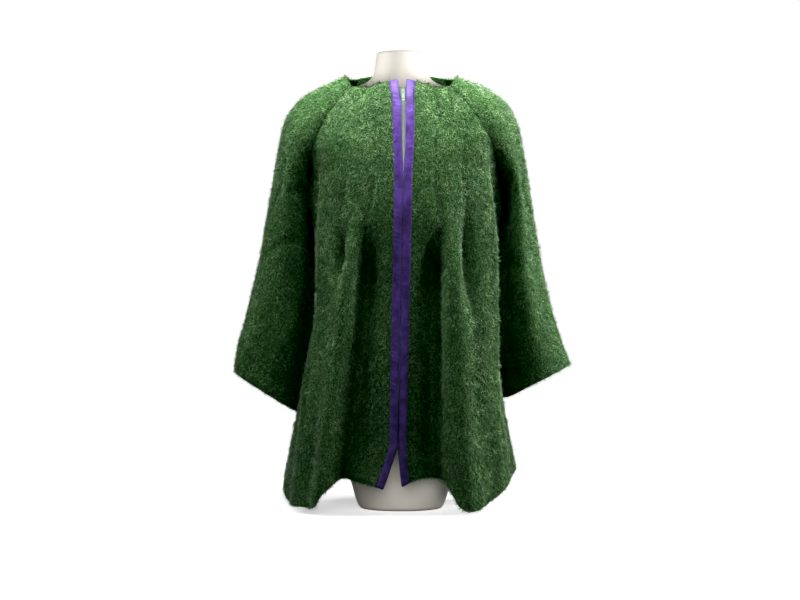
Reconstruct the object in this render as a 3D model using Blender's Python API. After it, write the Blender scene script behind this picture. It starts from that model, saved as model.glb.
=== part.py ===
"""Mohair jacket with raglan sleeves and a zipped front, on a limbless dress form.

Metres, +Z up, front facing -Y. Right and left are the wearer's, so right is at -X.
"""

import math
from collections import namedtuple

import bmesh
import bpy
import numpy as np
from mathutils import Matrix, Vector

# Cloth
WALL = 0.004
SEAM_GAP = 0.0004
RIGHT = -1.0
LEFT = 1.0

# Binding round each front edge
BINDING_WIDTH = 0.015
BINDING_WALL = 0.001
TRIM_GAP = 0.0003
BINDING_REACH = TRIM_GAP + BINDING_WALL

# Zip
TAPE_WALL = 0.0008
TAPE_TOP = 0.7800
CHAIN_WIDTH = 0.0050
CHAIN_WALL = 0.0020
ZIP_BOTTOM = 0.1300
SLIDER_HEIGHT = 0.7720
SLIDER_X = 0.0040
SLIDER_WIDTH = 0.0066
SLIDER_TAPER = 0.75
SLIDER_LENGTH = 0.0120
SLIDER_WALL = 0.0044
SLIDER_DEPTH = 0.0006
BRIDGE_WIDTH = 0.0016
BRIDGE_LENGTH = 0.0076
BRIDGE_RISE = 0.0042
BRIDGE_BAR = 0.0016
BRIDGE_SINK = 0.0010
BRIDGE_WEB = 0.00015
BRIDGE_CORNER = 0.0008
TAB_WIDTH = 0.0052
TAB_LENGTH = 0.0220
TAB_WALL = 0.0012
TAB_CORNER = 0.0016
TAB_SLOT_WIDTH = 0.0030
TAB_SLOT_LENGTH = 0.0060
TAB_HOLE = 0.0026
TAB_HOLE_RISE = 0.0050
TAB_BAR = 0.0012
PIVOT_OUT = 0.0012
STOP_WIDTH = 0.0060
STOP_LENGTH = 0.0050
STOP_WALL = 0.0030
CORNER_STEPS = 4
HOLE_SIDES = 16
WELD = 0.00002

# Grid
RAGLAN_CELLS = 14
FRONT_ROWS = 20
BACK_NECK_CELLS = 10
BACK_ROWS = 18
SLEEVE_ROWS = 12
SLEEVE_CELLS = 18

# Where along the front the neckline meets the raglan seam, as a share of centre front to side seam
NECK_SHARE = 0.36
BINDING_SHARE = 0.06
EDGE_BLEND = 0.18
TILT_PASSES = 2
SEAM_AGREE = 0.8

Section = namedtuple("Section", "height half_width front back squareness")
BODY = (
    Section(0.826, 0.200, 0.070, 0.076, 1.2),
    Section(0.805, 0.200, 0.078, 0.084, 1.25),
    Section(0.786, 0.200, 0.087, 0.092, 1.35),
    Section(0.758, 0.200, 0.100, 0.103, 1.8),
    Section(0.721, 0.200, 0.113, 0.115, 2.2),
    Section(0.678, 0.198, 0.125, 0.123, 2.3),
    Section(0.637, 0.182, 0.133, 0.130, 2.3),
    Section(0.590, 0.172, 0.138, 0.132, 2.4),
    Section(0.520, 0.165, 0.141, 0.134, 2.5),
    Section(0.390, 0.166, 0.145, 0.138, 2.5),
    Section(0.200, 0.200, 0.150, 0.149, 2.4),
    Section(0.010, 0.224, 0.158, 0.168, 2.3),
)

# Front edges: where the outside of each binding stands, seen from the front
Edge = namedtuple("Edge", "height right left")
EDGES = (
    Edge(0.800, -0.0060, 0.0098),
    Edge(0.786, -0.0050, 0.0094),
    Edge(0.761, -0.0008, 0.0087),
    Edge(0.746, 0.0007, 0.0085),
    Edge(0.700, 0.0014, 0.0084),
    Edge(0.660, 0.0022, 0.0074),
    Edge(0.622, 0.0036, 0.0048),
    Edge(0.560, 0.0031, 0.0037),
    Edge(0.390, -0.0003, 0.0003),
    Edge(0.210, -0.0044, -0.0038),
    Edge(0.130, -0.0061, -0.0055),
    Edge(0.084, -0.0190, -0.0025),
    Edge(0.045, -0.0330, 0.0022),
)

# A line that the columns of a front follow, as shares of the front's width
Line = namedtuple("Line", "chest release hem")
FRONT_LINES = {
    RIGHT: (Line(0.13, 0.24, 0.37), Line(0.37, 0.44, 0.50)),
    LEFT: (Line(0.18, 0.24, 0.24), Line(0.39, 0.45, 0.45)),
}
CHEST_HEIGHT = 0.690
RELEASE_HEIGHT = 0.525
HEM_HEIGHT = 0.030

# Folds: where they run, the heights where they start, are full and end, and how far they stand out
Fold = namedtuple("Fold", "name place start full end rise hem_rise half_width steep")
FRONT_FOLDS = {
    RIGHT: (
        Fold("centre hollow", 0.10, 0.57, 0.37, 0.05, -0.014, -0.020, 0.120, 1.0),
        Fold("inner valley", 0.24, 0.54, 0.42, 0.05, -0.038, -0.042, 0.080, 0.62),
        Fold("cone", 0.38, 0.56, 0.36, 0.05, 0.017, 0.028, 0.110, 1.0),
        Fold("outer dip", 0.44, 0.54, 0.47, 0.38, -0.020, 0.000, 0.040, 1.0),
        Fold("outer ridge", 0.63, 0.64, 0.48, 0.05, 0.010, 0.008, 0.080, 1.0),
        Fold("low trough", 0.76, 0.38, 0.24, 0.05, -0.010, -0.002, 0.050, 1.0),
        Fold("underarm swell", 0.90, 0.62, 0.56, 0.48, 0.0060, 0.000, 0.060, 1.0),
        Fold("side hollow", 1.00, 0.60, 0.32, 0.04, -0.032, 0.000, 0.140, 1.0),
    ),
    LEFT: (
        Fold("centre hollow", 0.10, 0.57, 0.37, 0.05, -0.014, -0.022, 0.120, 1.0),
        Fold("inner valley", 0.24, 0.54, 0.42, 0.05, -0.038, -0.044, 0.080, 0.62),
        Fold("cone", 0.38, 0.56, 0.36, 0.05, 0.016, 0.030, 0.110, 1.0),
        Fold("outer dip", 0.45, 0.58, 0.46, 0.31, -0.021, 0.000, 0.046, 1.0),
        Fold("outer ridge", 0.64, 0.68, 0.48, 0.05, 0.012, 0.006, 0.090, 1.0),
        Fold("low trough", 0.80, 0.30, 0.18, 0.05, -0.006, -0.002, 0.060, 1.0),
        Fold("underarm swell", 0.90, 0.62, 0.56, 0.48, 0.0060, 0.000, 0.060, 1.0),
        Fold("side hollow", 1.00, 0.60, 0.32, 0.04, -0.032, 0.000, 0.140, 1.0),
    ),
}
TUCK_DEPTH = 0.0030
TUCK_HALF_WIDTH = 0.016
TUCK_TOP = 0.765

# The back runs from the right side seam (0) over centre back (0.5) to the left side seam (1)
BACK_FOLDS = (
    Fold("right side hollow", 0.00, 0.60, 0.32, 0.04, -0.032, 0.000, 0.085, 1.0),
    Fold("right valley", 0.27, 0.52, 0.32, 0.05, -0.016, -0.026, 0.045, 1.0),
    Fold("right cone", 0.39, 0.50, 0.26, 0.05, 0.006, 0.014, 0.055, 1.0),
    Fold("centre valley", 0.52, 0.46, 0.26, 0.05, -0.010, -0.020, 0.040, 1.0),
    Fold("left cone", 0.63, 0.50, 0.26, 0.05, 0.007, 0.014, 0.055, 1.0),
    Fold("left valley", 0.74, 0.54, 0.34, 0.05, -0.015, -0.024, 0.045, 1.0),
    Fold("left side hollow", 1.00, 0.60, 0.32, 0.04, -0.032, 0.000, 0.085, 1.0),
)

Hem = namedtuple("Hem", "place height")
FRONT_HEMS = {
    RIGHT: (
        Hem(0.00, 0.046),
        Hem(0.12, 0.055),
        Hem(0.25, 0.063),
        Hem(0.31, 0.042),
        Hem(0.39, 0.020),
        Hem(0.50, 0.012),
        Hem(0.66, 0.012),
        Hem(0.80, 0.020),
        Hem(0.90, 0.036),
        Hem(1.00, 0.056),
    ),
    LEFT: (
        Hem(0.00, 0.051),
        Hem(0.15, 0.065),
        Hem(0.26, 0.062),
        Hem(0.29, 0.040),
        Hem(0.325, 0.015),
        Hem(0.36, 0.010),
        Hem(0.44, 0.012),
        Hem(0.54, 0.023),
        Hem(0.66, 0.042),
        Hem(0.80, 0.062),
        Hem(1.00, 0.078),
    ),
}
BACK_HEMS = (
    Hem(0.00, 0.056),
    Hem(0.14, 0.050),
    Hem(0.27, 0.058),
    Hem(0.39, 0.046),
    Hem(0.52, 0.054),
    Hem(0.63, 0.046),
    Hem(0.74, 0.058),
    Hem(0.86, 0.056),
    Hem(1.00, 0.074),
)

# Neckline of a front, from its edge to the raglan seam, and of the back, from seam to seam
Neck = namedtuple("Neck", "share height out")
FRONT_NECK = (
    Neck(0.0, 0.794, 0.0850),
    Neck(0.4, 0.788, 0.0840),
    Neck(0.7, 0.782, 0.0770),
    Neck(1.0, 0.786, 0.0620),
)
BACK_NECK = (
    Neck(0.0, 0.815, 0.0600),
    Neck(0.25, 0.822, 0.0760),
    Neck(0.5, 0.823, 0.0800),
    Neck(0.75, 0.822, 0.0760),
    Neck(1.0, 0.815, 0.0600),
)

# A sleeve, from the neckline (0) by the underarm (1) to the cuff (2)
Point = namedtuple("Point", "along x y z")
SLEEVE_OUTER = {
    RIGHT: (
        Point(0.0, 0.106, 0.000, 0.811),
        Point(0.2, 0.151, 0.004, 0.791),
        Point(0.4, 0.196, 0.008, 0.763),
        Point(0.6, 0.221, 0.010, 0.724),
        Point(0.8, 0.233, 0.012, 0.670),
        Point(1.0, 0.245, 0.012, 0.600),
        Point(1.4, 0.271, 0.010, 0.465),
        Point(1.7, 0.294, 0.006, 0.360),
        Point(1.9, 0.312, 0.003, 0.288),
        Point(2.0, 0.314, 0.002, 0.254),
    ),
    LEFT: (
        Point(0.0, 0.108, 0.000, 0.811),
        Point(0.2, 0.157, 0.004, 0.792),
        Point(0.4, 0.198, 0.008, 0.764),
        Point(0.6, 0.220, 0.010, 0.724),
        Point(0.8, 0.232, 0.012, 0.670),
        Point(1.0, 0.243, 0.012, 0.600),
        Point(1.4, 0.267, 0.010, 0.465),
        Point(1.7, 0.291, 0.006, 0.360),
        Point(2.0, 0.320, 0.002, 0.268),
    ),
}
FRONT_SEAM = (
    Point(0.0, 0.091, -0.062, 0.786),
    Point(0.2, 0.116, -0.080, 0.757),
    Point(0.4, 0.141, -0.088, 0.720),
    Point(0.6, 0.160, -0.084, 0.678),
    Point(0.8, 0.169, -0.057, 0.634),
    Point(1.0, 0.173, 0.004, 0.594),
)
BACK_SEAM = (
    Point(0.0, 0.080, 0.060, 0.815),
    Point(0.2, 0.110, 0.076, 0.777),
    Point(0.4, 0.138, 0.090, 0.730),
    Point(0.6, 0.159, 0.087, 0.680),
    Point(0.8, 0.169, 0.060, 0.634),
    Point(1.0, 0.173, 0.004, 0.594),
)
UNDERARM_SEAM = {
    RIGHT: (
        Point(1.0, 0.173, 0.004, 0.594),
        Point(1.1, 0.1670, 0.006, 0.554),
        Point(1.2, 0.1592, 0.008, 0.514),
        Point(1.4, 0.153, 0.012, 0.430),
        Point(1.7, 0.162, 0.014, 0.296),
        Point(2.0, 0.192, 0.014, 0.176),
    ),
    LEFT: (
        Point(1.0, 0.173, 0.004, 0.594),
        Point(1.1, 0.1670, 0.006, 0.555),
        Point(1.2, 0.1592, 0.008, 0.516),
        Point(1.4, 0.153, 0.012, 0.434),
        Point(1.7, 0.160, 0.014, 0.312),
        Point(2.0, 0.188, 0.014, 0.204),
    ),
}

# How much farther out the jacket hangs on the wearer's left than on the right
Spread = namedtuple("Spread", "height wider")
LEFT_SPREAD = (
    Spread(0.800, 0.000),
    Spread(0.720, 0.004),
    Spread(0.660, 0.009),
    Spread(0.620, 0.013),
    Spread(0.580, 0.015),
    Spread(0.500, 0.018),
    Spread(0.360, 0.018),
    Spread(0.300, 0.011),
    Spread(0.250, 0.005),
    Spread(0.180, 0.002),
    Spread(0.100, 0.000),
)

# Depth of a sleeve before and behind, and the angle at which its section starts at the seam
Depth = namedtuple("Depth", "along opening front back")
SLEEVE_DEPTHS = (
    Depth(0.0, 90.0, 0.062, 0.060),
    Depth(0.2, 90.0, 0.084, 0.072),
    Depth(0.4, 88.0, 0.095, 0.083),
    Depth(0.6, 74.0, 0.092, 0.082),
    Depth(0.8, 46.0, 0.084, 0.080),
    Depth(0.9, 25.0, 0.080, 0.078),
    Depth(1.0, 0.0, 0.076, 0.076),
    Depth(1.4, 0.0, 0.064, 0.068),
    Depth(1.7, 0.0, 0.056, 0.060),
    Depth(2.0, 0.0, 0.050, 0.054),
)

# Sleeve folds: place is the share of the way round, start to end run along the sleeve
SleeveFold = namedtuple("SleeveFold", "name place start full end rise half_width")
SLEEVE_FOLDS = {
    RIGHT: (
        SleeveFold("front ridge", 0.26, 0.60, 1.10, 1.60, 0.008, 0.050),
        SleeveFold("inner recess", 0.10, 0.90, 1.40, 2.00, -0.012, 0.055),
        SleeveFold("low ridge", 0.36, 1.40, 1.80, 2.60, 0.005, 0.060),
        SleeveFold("back trough", 0.72, 0.80, 1.30, 1.90, -0.010, 0.060),
    ),
    LEFT: (
        SleeveFold("front ridge", 0.27, 0.65, 1.30, 2.40, 0.007, 0.050),
        SleeveFold("inner recess", 0.12, 0.82, 1.15, 2.50, -0.026, 0.070),
        SleeveFold("front trough", 0.38, 0.90, 1.45, 2.10, -0.006, 0.060),
        SleeveFold("back trough", 0.74, 0.80, 1.35, 2.00, -0.010, 0.060),
    ),
}

# Dress form, a closed stack of rounded sections
FORM_SECTIONS = (
    Section(0.000, 0.076, 0.068, 0.074, 2.1),
    Section(0.004, 0.080, 0.072, 0.078, 2.1),
    Section(0.060, 0.098, 0.082, 0.092, 2.2),
    Section(0.120, 0.126, 0.092, 0.107, 2.2),
    Section(0.200, 0.138, 0.094, 0.112, 2.2),
    Section(0.300, 0.128, 0.090, 0.100, 2.2),
    Section(0.410, 0.108, 0.082, 0.084, 2.1),
    Section(0.500, 0.118, 0.090, 0.088, 2.1),
    Section(0.580, 0.134, 0.104, 0.098, 2.2),
    Section(0.640, 0.154, 0.102, 0.104, 2.3),
    Section(0.690, 0.186, 0.090, 0.096, 2.3),
    Section(0.722, 0.203, 0.078, 0.084, 2.2),
    Section(0.740, 0.206, 0.068, 0.074, 2.1),
    Section(0.755, 0.197, 0.060, 0.067, 2.0),
    Section(0.769, 0.175, 0.055, 0.062, 2.0),
    Section(0.779, 0.143, 0.052, 0.060, 2.0),
    Section(0.788, 0.096, 0.049, 0.057, 2.0),
    Section(0.798, 0.068, 0.046, 0.055, 2.0),
    Section(0.812, 0.053, 0.044, 0.053, 2.0),
    Section(0.848, 0.047, 0.042, 0.052, 2.0),
    Section(0.853, 0.0465, 0.0415, 0.0515, 2.0),
    Section(0.855, 0.0440, 0.0390, 0.0490, 2.0),
)
FORM_SIDES = 32
FORM_SHIFT = 0.004

Paint = namedtuple("Paint", "name colour roughness")
MOHAIR = Paint("mohair cloth", (0.075, 0.145, 0.055), 0.95)
SATIN = Paint("satin binding", (0.115, 0.075, 0.330), 0.45)
ZIP_CLOTH = Paint("zip tape", (0.360, 0.520, 0.400), 0.80)
ZIP_PLASTIC = Paint("zip plastic", (0.520, 0.690, 0.530), 0.45)
FORM_PAINT = Paint("form shell", (0.900, 0.870, 0.800), 0.60)


def smooth(at, places, values):
    """Follow a cubic curve through table values without overshoot between the rows."""
    places = np.asarray(places, float)
    values = np.asarray(values, float)
    if places[0] > places[-1]:
        places = places[::-1]
        values = values[::-1]
    step = np.diff(places)
    rate = np.diff(values) / step
    slope = np.zeros_like(values)
    slope[0] = rate[0]
    slope[-1] = rate[-1]
    before = rate[:-1]
    after = rate[1:]
    same = before * after > 0
    slope[1:-1][same] = 2 * before[same] * after[same] / (before + after)[same]
    at = np.clip(np.asarray(at, float), places[0], places[-1])
    cell = np.clip(np.searchsorted(places, at, side="right") - 1, 0, len(step) - 1)
    width = step[cell]
    t = (at - places[cell]) / width
    start = values[cell] * (1 + 2 * t) * (1 - t) ** 2 + slope[cell] * width * t * (1 - t) ** 2
    end = values[cell + 1] * t * t * (3 - 2 * t) - slope[cell + 1] * width * t * t * (1 - t)
    return start + end


def column(table, name):
    """One named column of a table."""
    return [getattr(row, name) for row in table]


def look_up(table, key, name, at):
    """Smooth value of one column of a table at places given in another."""
    return smooth(at, column(table, key), column(table, name))


def ease(t):
    """Rise from 0 to 1 with level ends."""
    t = np.clip(t, 0.0, 1.0)
    return t * t * (3 - 2 * t)


def bump(distance):
    """Soft hump of height 1 at 0 that is gone at about 2."""
    return np.exp(-distance * distance)


def fold_rise(fold, height):
    """How far a fold stands out at each height."""
    growing = ease((fold.start - height) / (fold.start - fold.full))
    leaving = ease((fold.full - height) / (fold.full - fold.end))
    return growing * (fold.rise + (fold.hem_rise - fold.rise) * leaving)


def fold_profile(fold, place):
    """Section of a fold, which can be steeper on the side away from the centre front."""
    offset = place - fold.place
    half_width = fold.half_width * np.where(offset > 0, fold.steep, 1.0)
    return bump(offset / half_width)


def plan(share, height, table=BODY, samples=160):
    """Points on the plan of the body: share 0 is centre front, 1 the side and 2 centre back."""
    half_width = look_up(table, "height", "half_width", height)[:, None]
    front = look_up(table, "height", "front", height)[:, None]
    back = look_up(table, "height", "back", height)[:, None]
    power = 2 / look_up(table, "height", "squareness", height)[:, None]
    angle = np.linspace(0, math.pi / 2, samples)[None, :]
    sine = np.sin(angle) ** power
    cosine = np.clip(np.cos(angle), 0, 1) ** power
    in_front = share <= 1.0
    depth = np.where(in_front[:, None], front, back)
    x = half_width * sine
    y = depth * cosine
    length = np.hypot(np.diff(x, axis=1), np.diff(y, axis=1))
    run = np.concatenate([np.zeros((len(share), 1)), np.cumsum(length, axis=1)], axis=1)
    arc = run[:, -1]
    wanted = np.where(in_front, share, 2.0 - share) * arc
    place = np.zeros((len(share), 2))
    for row in range(len(share)):
        place[row, 0] = np.interp(wanted[row], run[row], x[row])
        place[row, 1] = np.interp(wanted[row], run[row], y[row])
    place[:, 1] *= np.where(in_front, -1.0, 1.0)
    return place, arc


def plan_outward(share, height):
    """Outward direction of the body's plan at each share and height."""
    step = 0.01
    low = np.clip(share - step, 0.0, 2.0)
    high = np.clip(share + step, 0.0, 2.0)
    along = plan(high, height)[0] - plan(low, height)[0]
    along /= np.linalg.norm(along, axis=1)[:, None]
    return np.stack([along[:, 1], -along[:, 0]], axis=1)


def spread(side, height):
    """How much farther out a side of the jacket hangs at each height."""
    wider = look_up(LEFT_SPREAD, "height", "wider", height)
    return wider if side == LEFT else np.zeros_like(wider)


def front_share(side, place, height):
    """Share of the front's width where a column runs at each height."""
    arc = plan(np.zeros_like(height), height)[1]
    binding = BINDING_WIDTH / arc
    heights = (CHEST_HEIGHT, RELEASE_HEIGHT, HEM_HEIGHT)
    lines = [smooth(height, heights, line) for line in FRONT_LINES[side]]
    marks = (0.0, BINDING_SHARE, *(line.release for line in FRONT_LINES[side]), 1.0)
    share = np.zeros_like(place)
    for row in range(len(place)):
        stops = (0.0, binding[row], *(line[row] for line in lines), 1.0)
        share[row] = smooth(place[row], marks, stops)
    return share


def front_surface(side, place, height):
    """Outside of a front at column places and heights."""
    share = front_share(side, place, height)
    point = plan(share, height)[0]
    outward = plan_outward(share, height)
    rise = np.zeros_like(place)
    beyond_binding = np.maximum(place, BINDING_SHARE)
    for fold in FRONT_FOLDS[side]:
        rise += fold_rise(fold, height) * fold_profile(fold, beyond_binding)
    for line in FRONT_LINES[side]:
        stitched = ease((TUCK_TOP + 0.03 - height) / 0.06) * ease((height - RELEASE_HEIGHT) / 0.05)
        rise -= TUCK_DEPTH * stitched * bump((place - line.release) / TUCK_HALF_WIDTH)
    point += outward * rise[:, None]
    point[:, 0] += spread(side, height) * ease(share / 0.8)
    edge_name = "right" if side == RIGHT else "left"
    edge = look_up(EDGES, "height", edge_name, height) * side + BINDING_REACH
    point[:, 0] += edge * (1 - ease(share / 0.55))
    return np.stack([side * point[:, 0], point[:, 1], height], axis=1)


def back_surface(place, height):
    """Outside of the back at column places and heights."""
    share = 2.0 - np.abs(place - 0.5) * 2.0
    side = np.where(place < 0.5, RIGHT, LEFT)
    point = plan(share, height)[0]
    outward = plan_outward(share, height)
    rise = np.zeros_like(place)
    for fold in BACK_FOLDS:
        rise += fold_rise(fold, height) * fold_profile(fold, place)
    point += outward * rise[:, None]
    wider = np.where(side == LEFT, spread(LEFT, height), spread(RIGHT, height))
    point[:, 0] += wider * ease((2.0 - share) / 0.8)
    return np.stack([side * point[:, 0], point[:, 1], height], axis=1)


def table_points(table, along):
    """Points of a seam or outline table at places along it."""
    return np.stack([look_up(table, "along", axis, along) for axis in "xyz"], axis=1)


def sleeve_seam(side, along, behind):
    """Edge of a sleeve: its raglan seam down to the underarm, then the underarm seam."""
    raglan = table_points(BACK_SEAM if behind else FRONT_SEAM, np.clip(along, 0, 1))
    under = table_points(UNDERARM_SEAM[side], np.clip(along, 1, 2))
    seam = np.where((along <= 1.0)[:, None], raglan, under)
    seam[:, 0] += spread(side, seam[:, 2])
    return seam


def sleeve_half(side, along, turn, behind):
    """Half a sleeve section, from its seam (turn 0) to its outer line (turn 1)."""
    seam = sleeve_seam(side, along, behind)
    outer = table_points(SLEEVE_OUTER[side], along)
    depth = look_up(SLEEVE_DEPTHS, "along", "back" if behind else "front", along)
    depth = depth if behind else -depth
    opening = np.radians(look_up(SLEEVE_DEPTHS, "along", "opening", along))
    lift = np.zeros_like(seam)
    lift[:, 1] = -depth * np.sin(opening)
    centre = (seam + outer * np.cos(opening)[:, None] + lift) / (1 + np.cos(opening))[:, None]
    angle = opening + (math.pi - opening) * turn
    point = centre - (outer - centre) * np.cos(angle)[:, None]
    point[:, 1] += depth * np.sin(angle)
    return point


def sleeve_surface(side, along, around):
    """Outside of a sleeve; around runs from the front seam (0) over the outer line to the back (1)."""
    front = sleeve_half(side, along, np.clip(around * 2, 0, 1), False)
    back = sleeve_half(side, along, np.clip(2 - around * 2, 0, 1), True)
    point = np.where((around <= 0.5)[:, None], front, back)
    rise = np.zeros_like(around)
    for fold in SLEEVE_FOLDS[side]:
        growing = ease((along - fold.start) / (fold.full - fold.start))
        leaving = 1 - ease((along - fold.full) / (fold.end - fold.full))
        rise += fold.rise * growing * leaving * bump((around - fold.place) / fold.half_width)
    middle = (table_points(SLEEVE_OUTER[side], along) + sleeve_seam(side, along, False)) / 2
    outward = point - middle
    outward[:, 2] = 0
    outward /= np.maximum(np.linalg.norm(outward, axis=1), 1e-6)[:, None]
    point = point + outward * rise[:, None]
    point[:, 0] *= side
    return point


def raglan_places(side):
    """Column places of a front along its raglan seam, with columns on and beside the outer tuck."""
    tuck = FRONT_LINES[side][1].release
    near = [NECK_SHARE, tuck - TUCK_HALF_WIDTH, tuck, tuck + TUCK_HALF_WIDTH]
    rest = np.linspace(tuck + TUCK_HALF_WIDTH, 1.0, RAGLAN_CELLS - 2)[1:]
    return np.concatenate([near, rest])


def front_places(side):
    """Column places of a front from its edge to the side seam."""
    tuck = FRONT_LINES[side][0].release
    inner = [tuck - TUCK_HALF_WIDTH, tuck, tuck + TUCK_HALF_WIDTH]
    bound = [0.0, BINDING_SHARE / 2, BINDING_SHARE]
    before = np.linspace(BINDING_SHARE, inner[0], 5)[1:-1]
    after = np.linspace(inner[-1], NECK_SHARE, 4)[1:-1]
    return np.concatenate([bound, before, inner, after, raglan_places(side)])


def raglan_steps(side):
    """Steps along a sleeve's raglan seam, one for each column that meets it."""
    return (raglan_places(side) - NECK_SHARE) / (1 - NECK_SHARE)


def front_top(side, places):
    """Top edge of a front: its neckline, then the raglan seam."""
    edge_name = "right" if side == RIGHT else "left"
    top = np.zeros((len(places), 3))
    on_neck = places < NECK_SHARE - 1e-9
    share = places[on_neck] / NECK_SHARE
    height = look_up(FRONT_NECK, "share", "height", share)
    edge = look_up(EDGES, "height", edge_name, height[:1])[0] * side + BINDING_REACH
    seam_start = FRONT_SEAM[0].x
    bound = BINDING_WIDTH * np.minimum(places[on_neck] / BINDING_SHARE, 1.0)
    beyond = np.clip((places[on_neck] - BINDING_SHARE) / (NECK_SHARE - BINDING_SHARE), 0, 1)
    top[on_neck, 0] = edge + bound + (seam_start - edge - BINDING_WIDTH) * beyond
    top[on_neck, 1] = -look_up(FRONT_NECK, "share", "out", share)
    top[on_neck, 2] = height
    top[~on_neck] = sleeve_seam(side, raglan_steps(side), False)
    top[:, 0] *= side
    return top


def hang(surface, places, top, hem, rows):
    """Grid of a panel whose columns hang from its top edge to its hem."""
    count = len(places)
    drop = np.linspace(0, 1, rows + 1)
    heights = top[None, :, 2] + (hem - top[:, 2])[None, :] * drop[:, None]
    spread = np.broadcast_to(places, heights.shape)
    grid = surface(spread.ravel().copy(), heights.ravel()).reshape(rows + 1, count, 3)
    shift = top - grid[0]
    fade = 1 - ease((top[None, :, 2] - heights) / EDGE_BLEND)
    grid = grid + shift[None] * fade[:, :, None]
    grid[:, :, 2] = heights
    return grid


def front_grid(side):
    """Grid of a front's outside, a row for each step down and a column for each place."""
    places = front_places(side)
    top = front_top(side, places)
    hem = look_up(FRONT_HEMS[side], "place", "height", places)
    return hang(lambda place, height: front_surface(side, place, height), places, top, hem, FRONT_ROWS)


def back_grid():
    """Grid of the back's outside from the right side seam to the left."""
    right = raglan_steps(RIGHT)[::-1]
    left = raglan_steps(LEFT)
    neck = np.linspace(0, 1, BACK_NECK_CELLS + 1)[1:-1]
    arm = (1 - NECK_SHARE) / 2
    places = np.concatenate([arm * (1 - right), arm + NECK_SHARE * neck, 1 - arm + arm * left])
    top_right = sleeve_seam(RIGHT, right, True) * (RIGHT, 1, 1)
    top_left = sleeve_seam(LEFT, left, True) * (LEFT, 1, 1)
    middle = np.zeros((len(neck), 3))
    middle[:, 0] = BACK_SEAM[0].x * (2 * neck - 1)
    middle[:, 1] = look_up(BACK_NECK, "share", "out", neck)
    middle[:, 2] = look_up(BACK_NECK, "share", "height", neck)
    top = np.concatenate([top_right, middle, top_left])
    hem = look_up(BACK_HEMS, "place", "height", places)
    return hang(back_surface, places, top, hem, BACK_ROWS)


def sleeve_grid(side):
    """Grid of a sleeve's outside, a row for each step from neckline to cuff."""
    below = np.linspace(1, 2, SLEEVE_ROWS + 1)[1:]
    along = np.concatenate([raglan_steps(side), below])
    around = np.linspace(0, 1, SLEEVE_CELLS + 1)
    rows = np.repeat(along, len(around))
    turns = np.tile(around, len(along))
    return sleeve_surface(side, rows, turns).reshape(len(along), len(around), 3)


def grid_normals(grid):
    """Outward directions of a grid whose rows run down and whose columns run round."""
    down = np.gradient(grid, axis=0)
    across = np.gradient(grid, axis=1)
    normal = np.cross(down, across)
    return normal / np.maximum(np.linalg.norm(normal, axis=2), 1e-12)[:, :, None]


def share_seam(first, second):
    """Give both sides of a seam one wall direction, except where they fold back on each other."""
    agree = ease(np.sum(first * second, axis=1) / SEAM_AGREE)[:, None]
    mean = first + second
    mean /= np.maximum(np.linalg.norm(mean, axis=1), 1e-9)[:, None]
    for tilt in (first, second):
        tilt[:] = tilt * (1 - agree) + mean * agree
        tilt /= np.linalg.norm(tilt, axis=1)[:, None]


def smooth_tilts(tilts):
    """Even out wall directions so that tight bends keep an open inside."""
    for _ in range(TILT_PASSES):
        padded = np.pad(tilts, ((1, 1), (1, 1), (0, 0)), mode="edge")
        tilts = padded[:-2, 1:-1] + padded[2:, 1:-1] + padded[1:-1, :-2] + padded[1:-1, 2:] + 2 * tilts
        tilts /= np.linalg.norm(tilts, axis=2)[:, :, None]
    return tilts


def open_seam(edge, tilt, inside):
    """Pull one edge of a panel back from its seam, square to the seam and within the cloth."""
    along = np.gradient(edge, axis=0)
    inward = np.cross(along, tilt)
    inward /= np.linalg.norm(inward, axis=1)[:, None]
    inward *= np.sign(np.sum(inward * (inside - edge), axis=1))[:, None]
    return edge + inward * SEAM_GAP / 2


def make_object(name, points, faces, paint):
    """Object with one material from points and faces."""
    mesh = bpy.data.meshes.new(name)
    mesh.from_pydata([tuple(map(float, point)) for point in points], [], faces)
    mesh.validate()
    mesh.update()
    part = bpy.data.objects.new(name, mesh)
    bpy.context.scene.collection.objects.link(part)
    material = bpy.data.materials.get(paint.name)
    if material is None:
        material = bpy.data.materials.new(paint.name)
        material.use_nodes = True
        shader = material.node_tree.nodes["Principled BSDF"]
        shader.inputs["Base Color"].default_value = (*paint.colour, 1.0)
        shader.inputs["Roughness"].default_value = paint.roughness
    mesh.materials.append(material)
    return part


def sheet_solid(name, outer, inner, paint, flip):
    """Closed wall between an outer and an inner grid."""
    rows, columns = outer.shape[:2]
    count = rows * columns
    points = np.concatenate([outer.reshape(-1, 3), inner.reshape(-1, 3)])
    index = np.arange(count).reshape(rows, columns)
    faces = []
    for row in range(rows - 1):
        for place in range(columns - 1):
            corner = (index[row, place], index[row + 1, place],
                      index[row + 1, place + 1], index[row, place + 1])
            faces.append(corner)
            faces.append(tuple(count + value for value in reversed(corner)))
    rim = [*index[0, :], *index[1:, -1], *index[-1, -2::-1], *index[-2:0:-1, 0]]
    for here, there in zip(rim, rim[1:] + rim[:1]):
        faces.append((here, there, count + there, count + here))
    faces = [tuple(int(value) for value in face) for face in faces]
    if flip:
        faces = [tuple(reversed(face)) for face in faces]
    return make_object(name, points, faces, paint)


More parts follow.
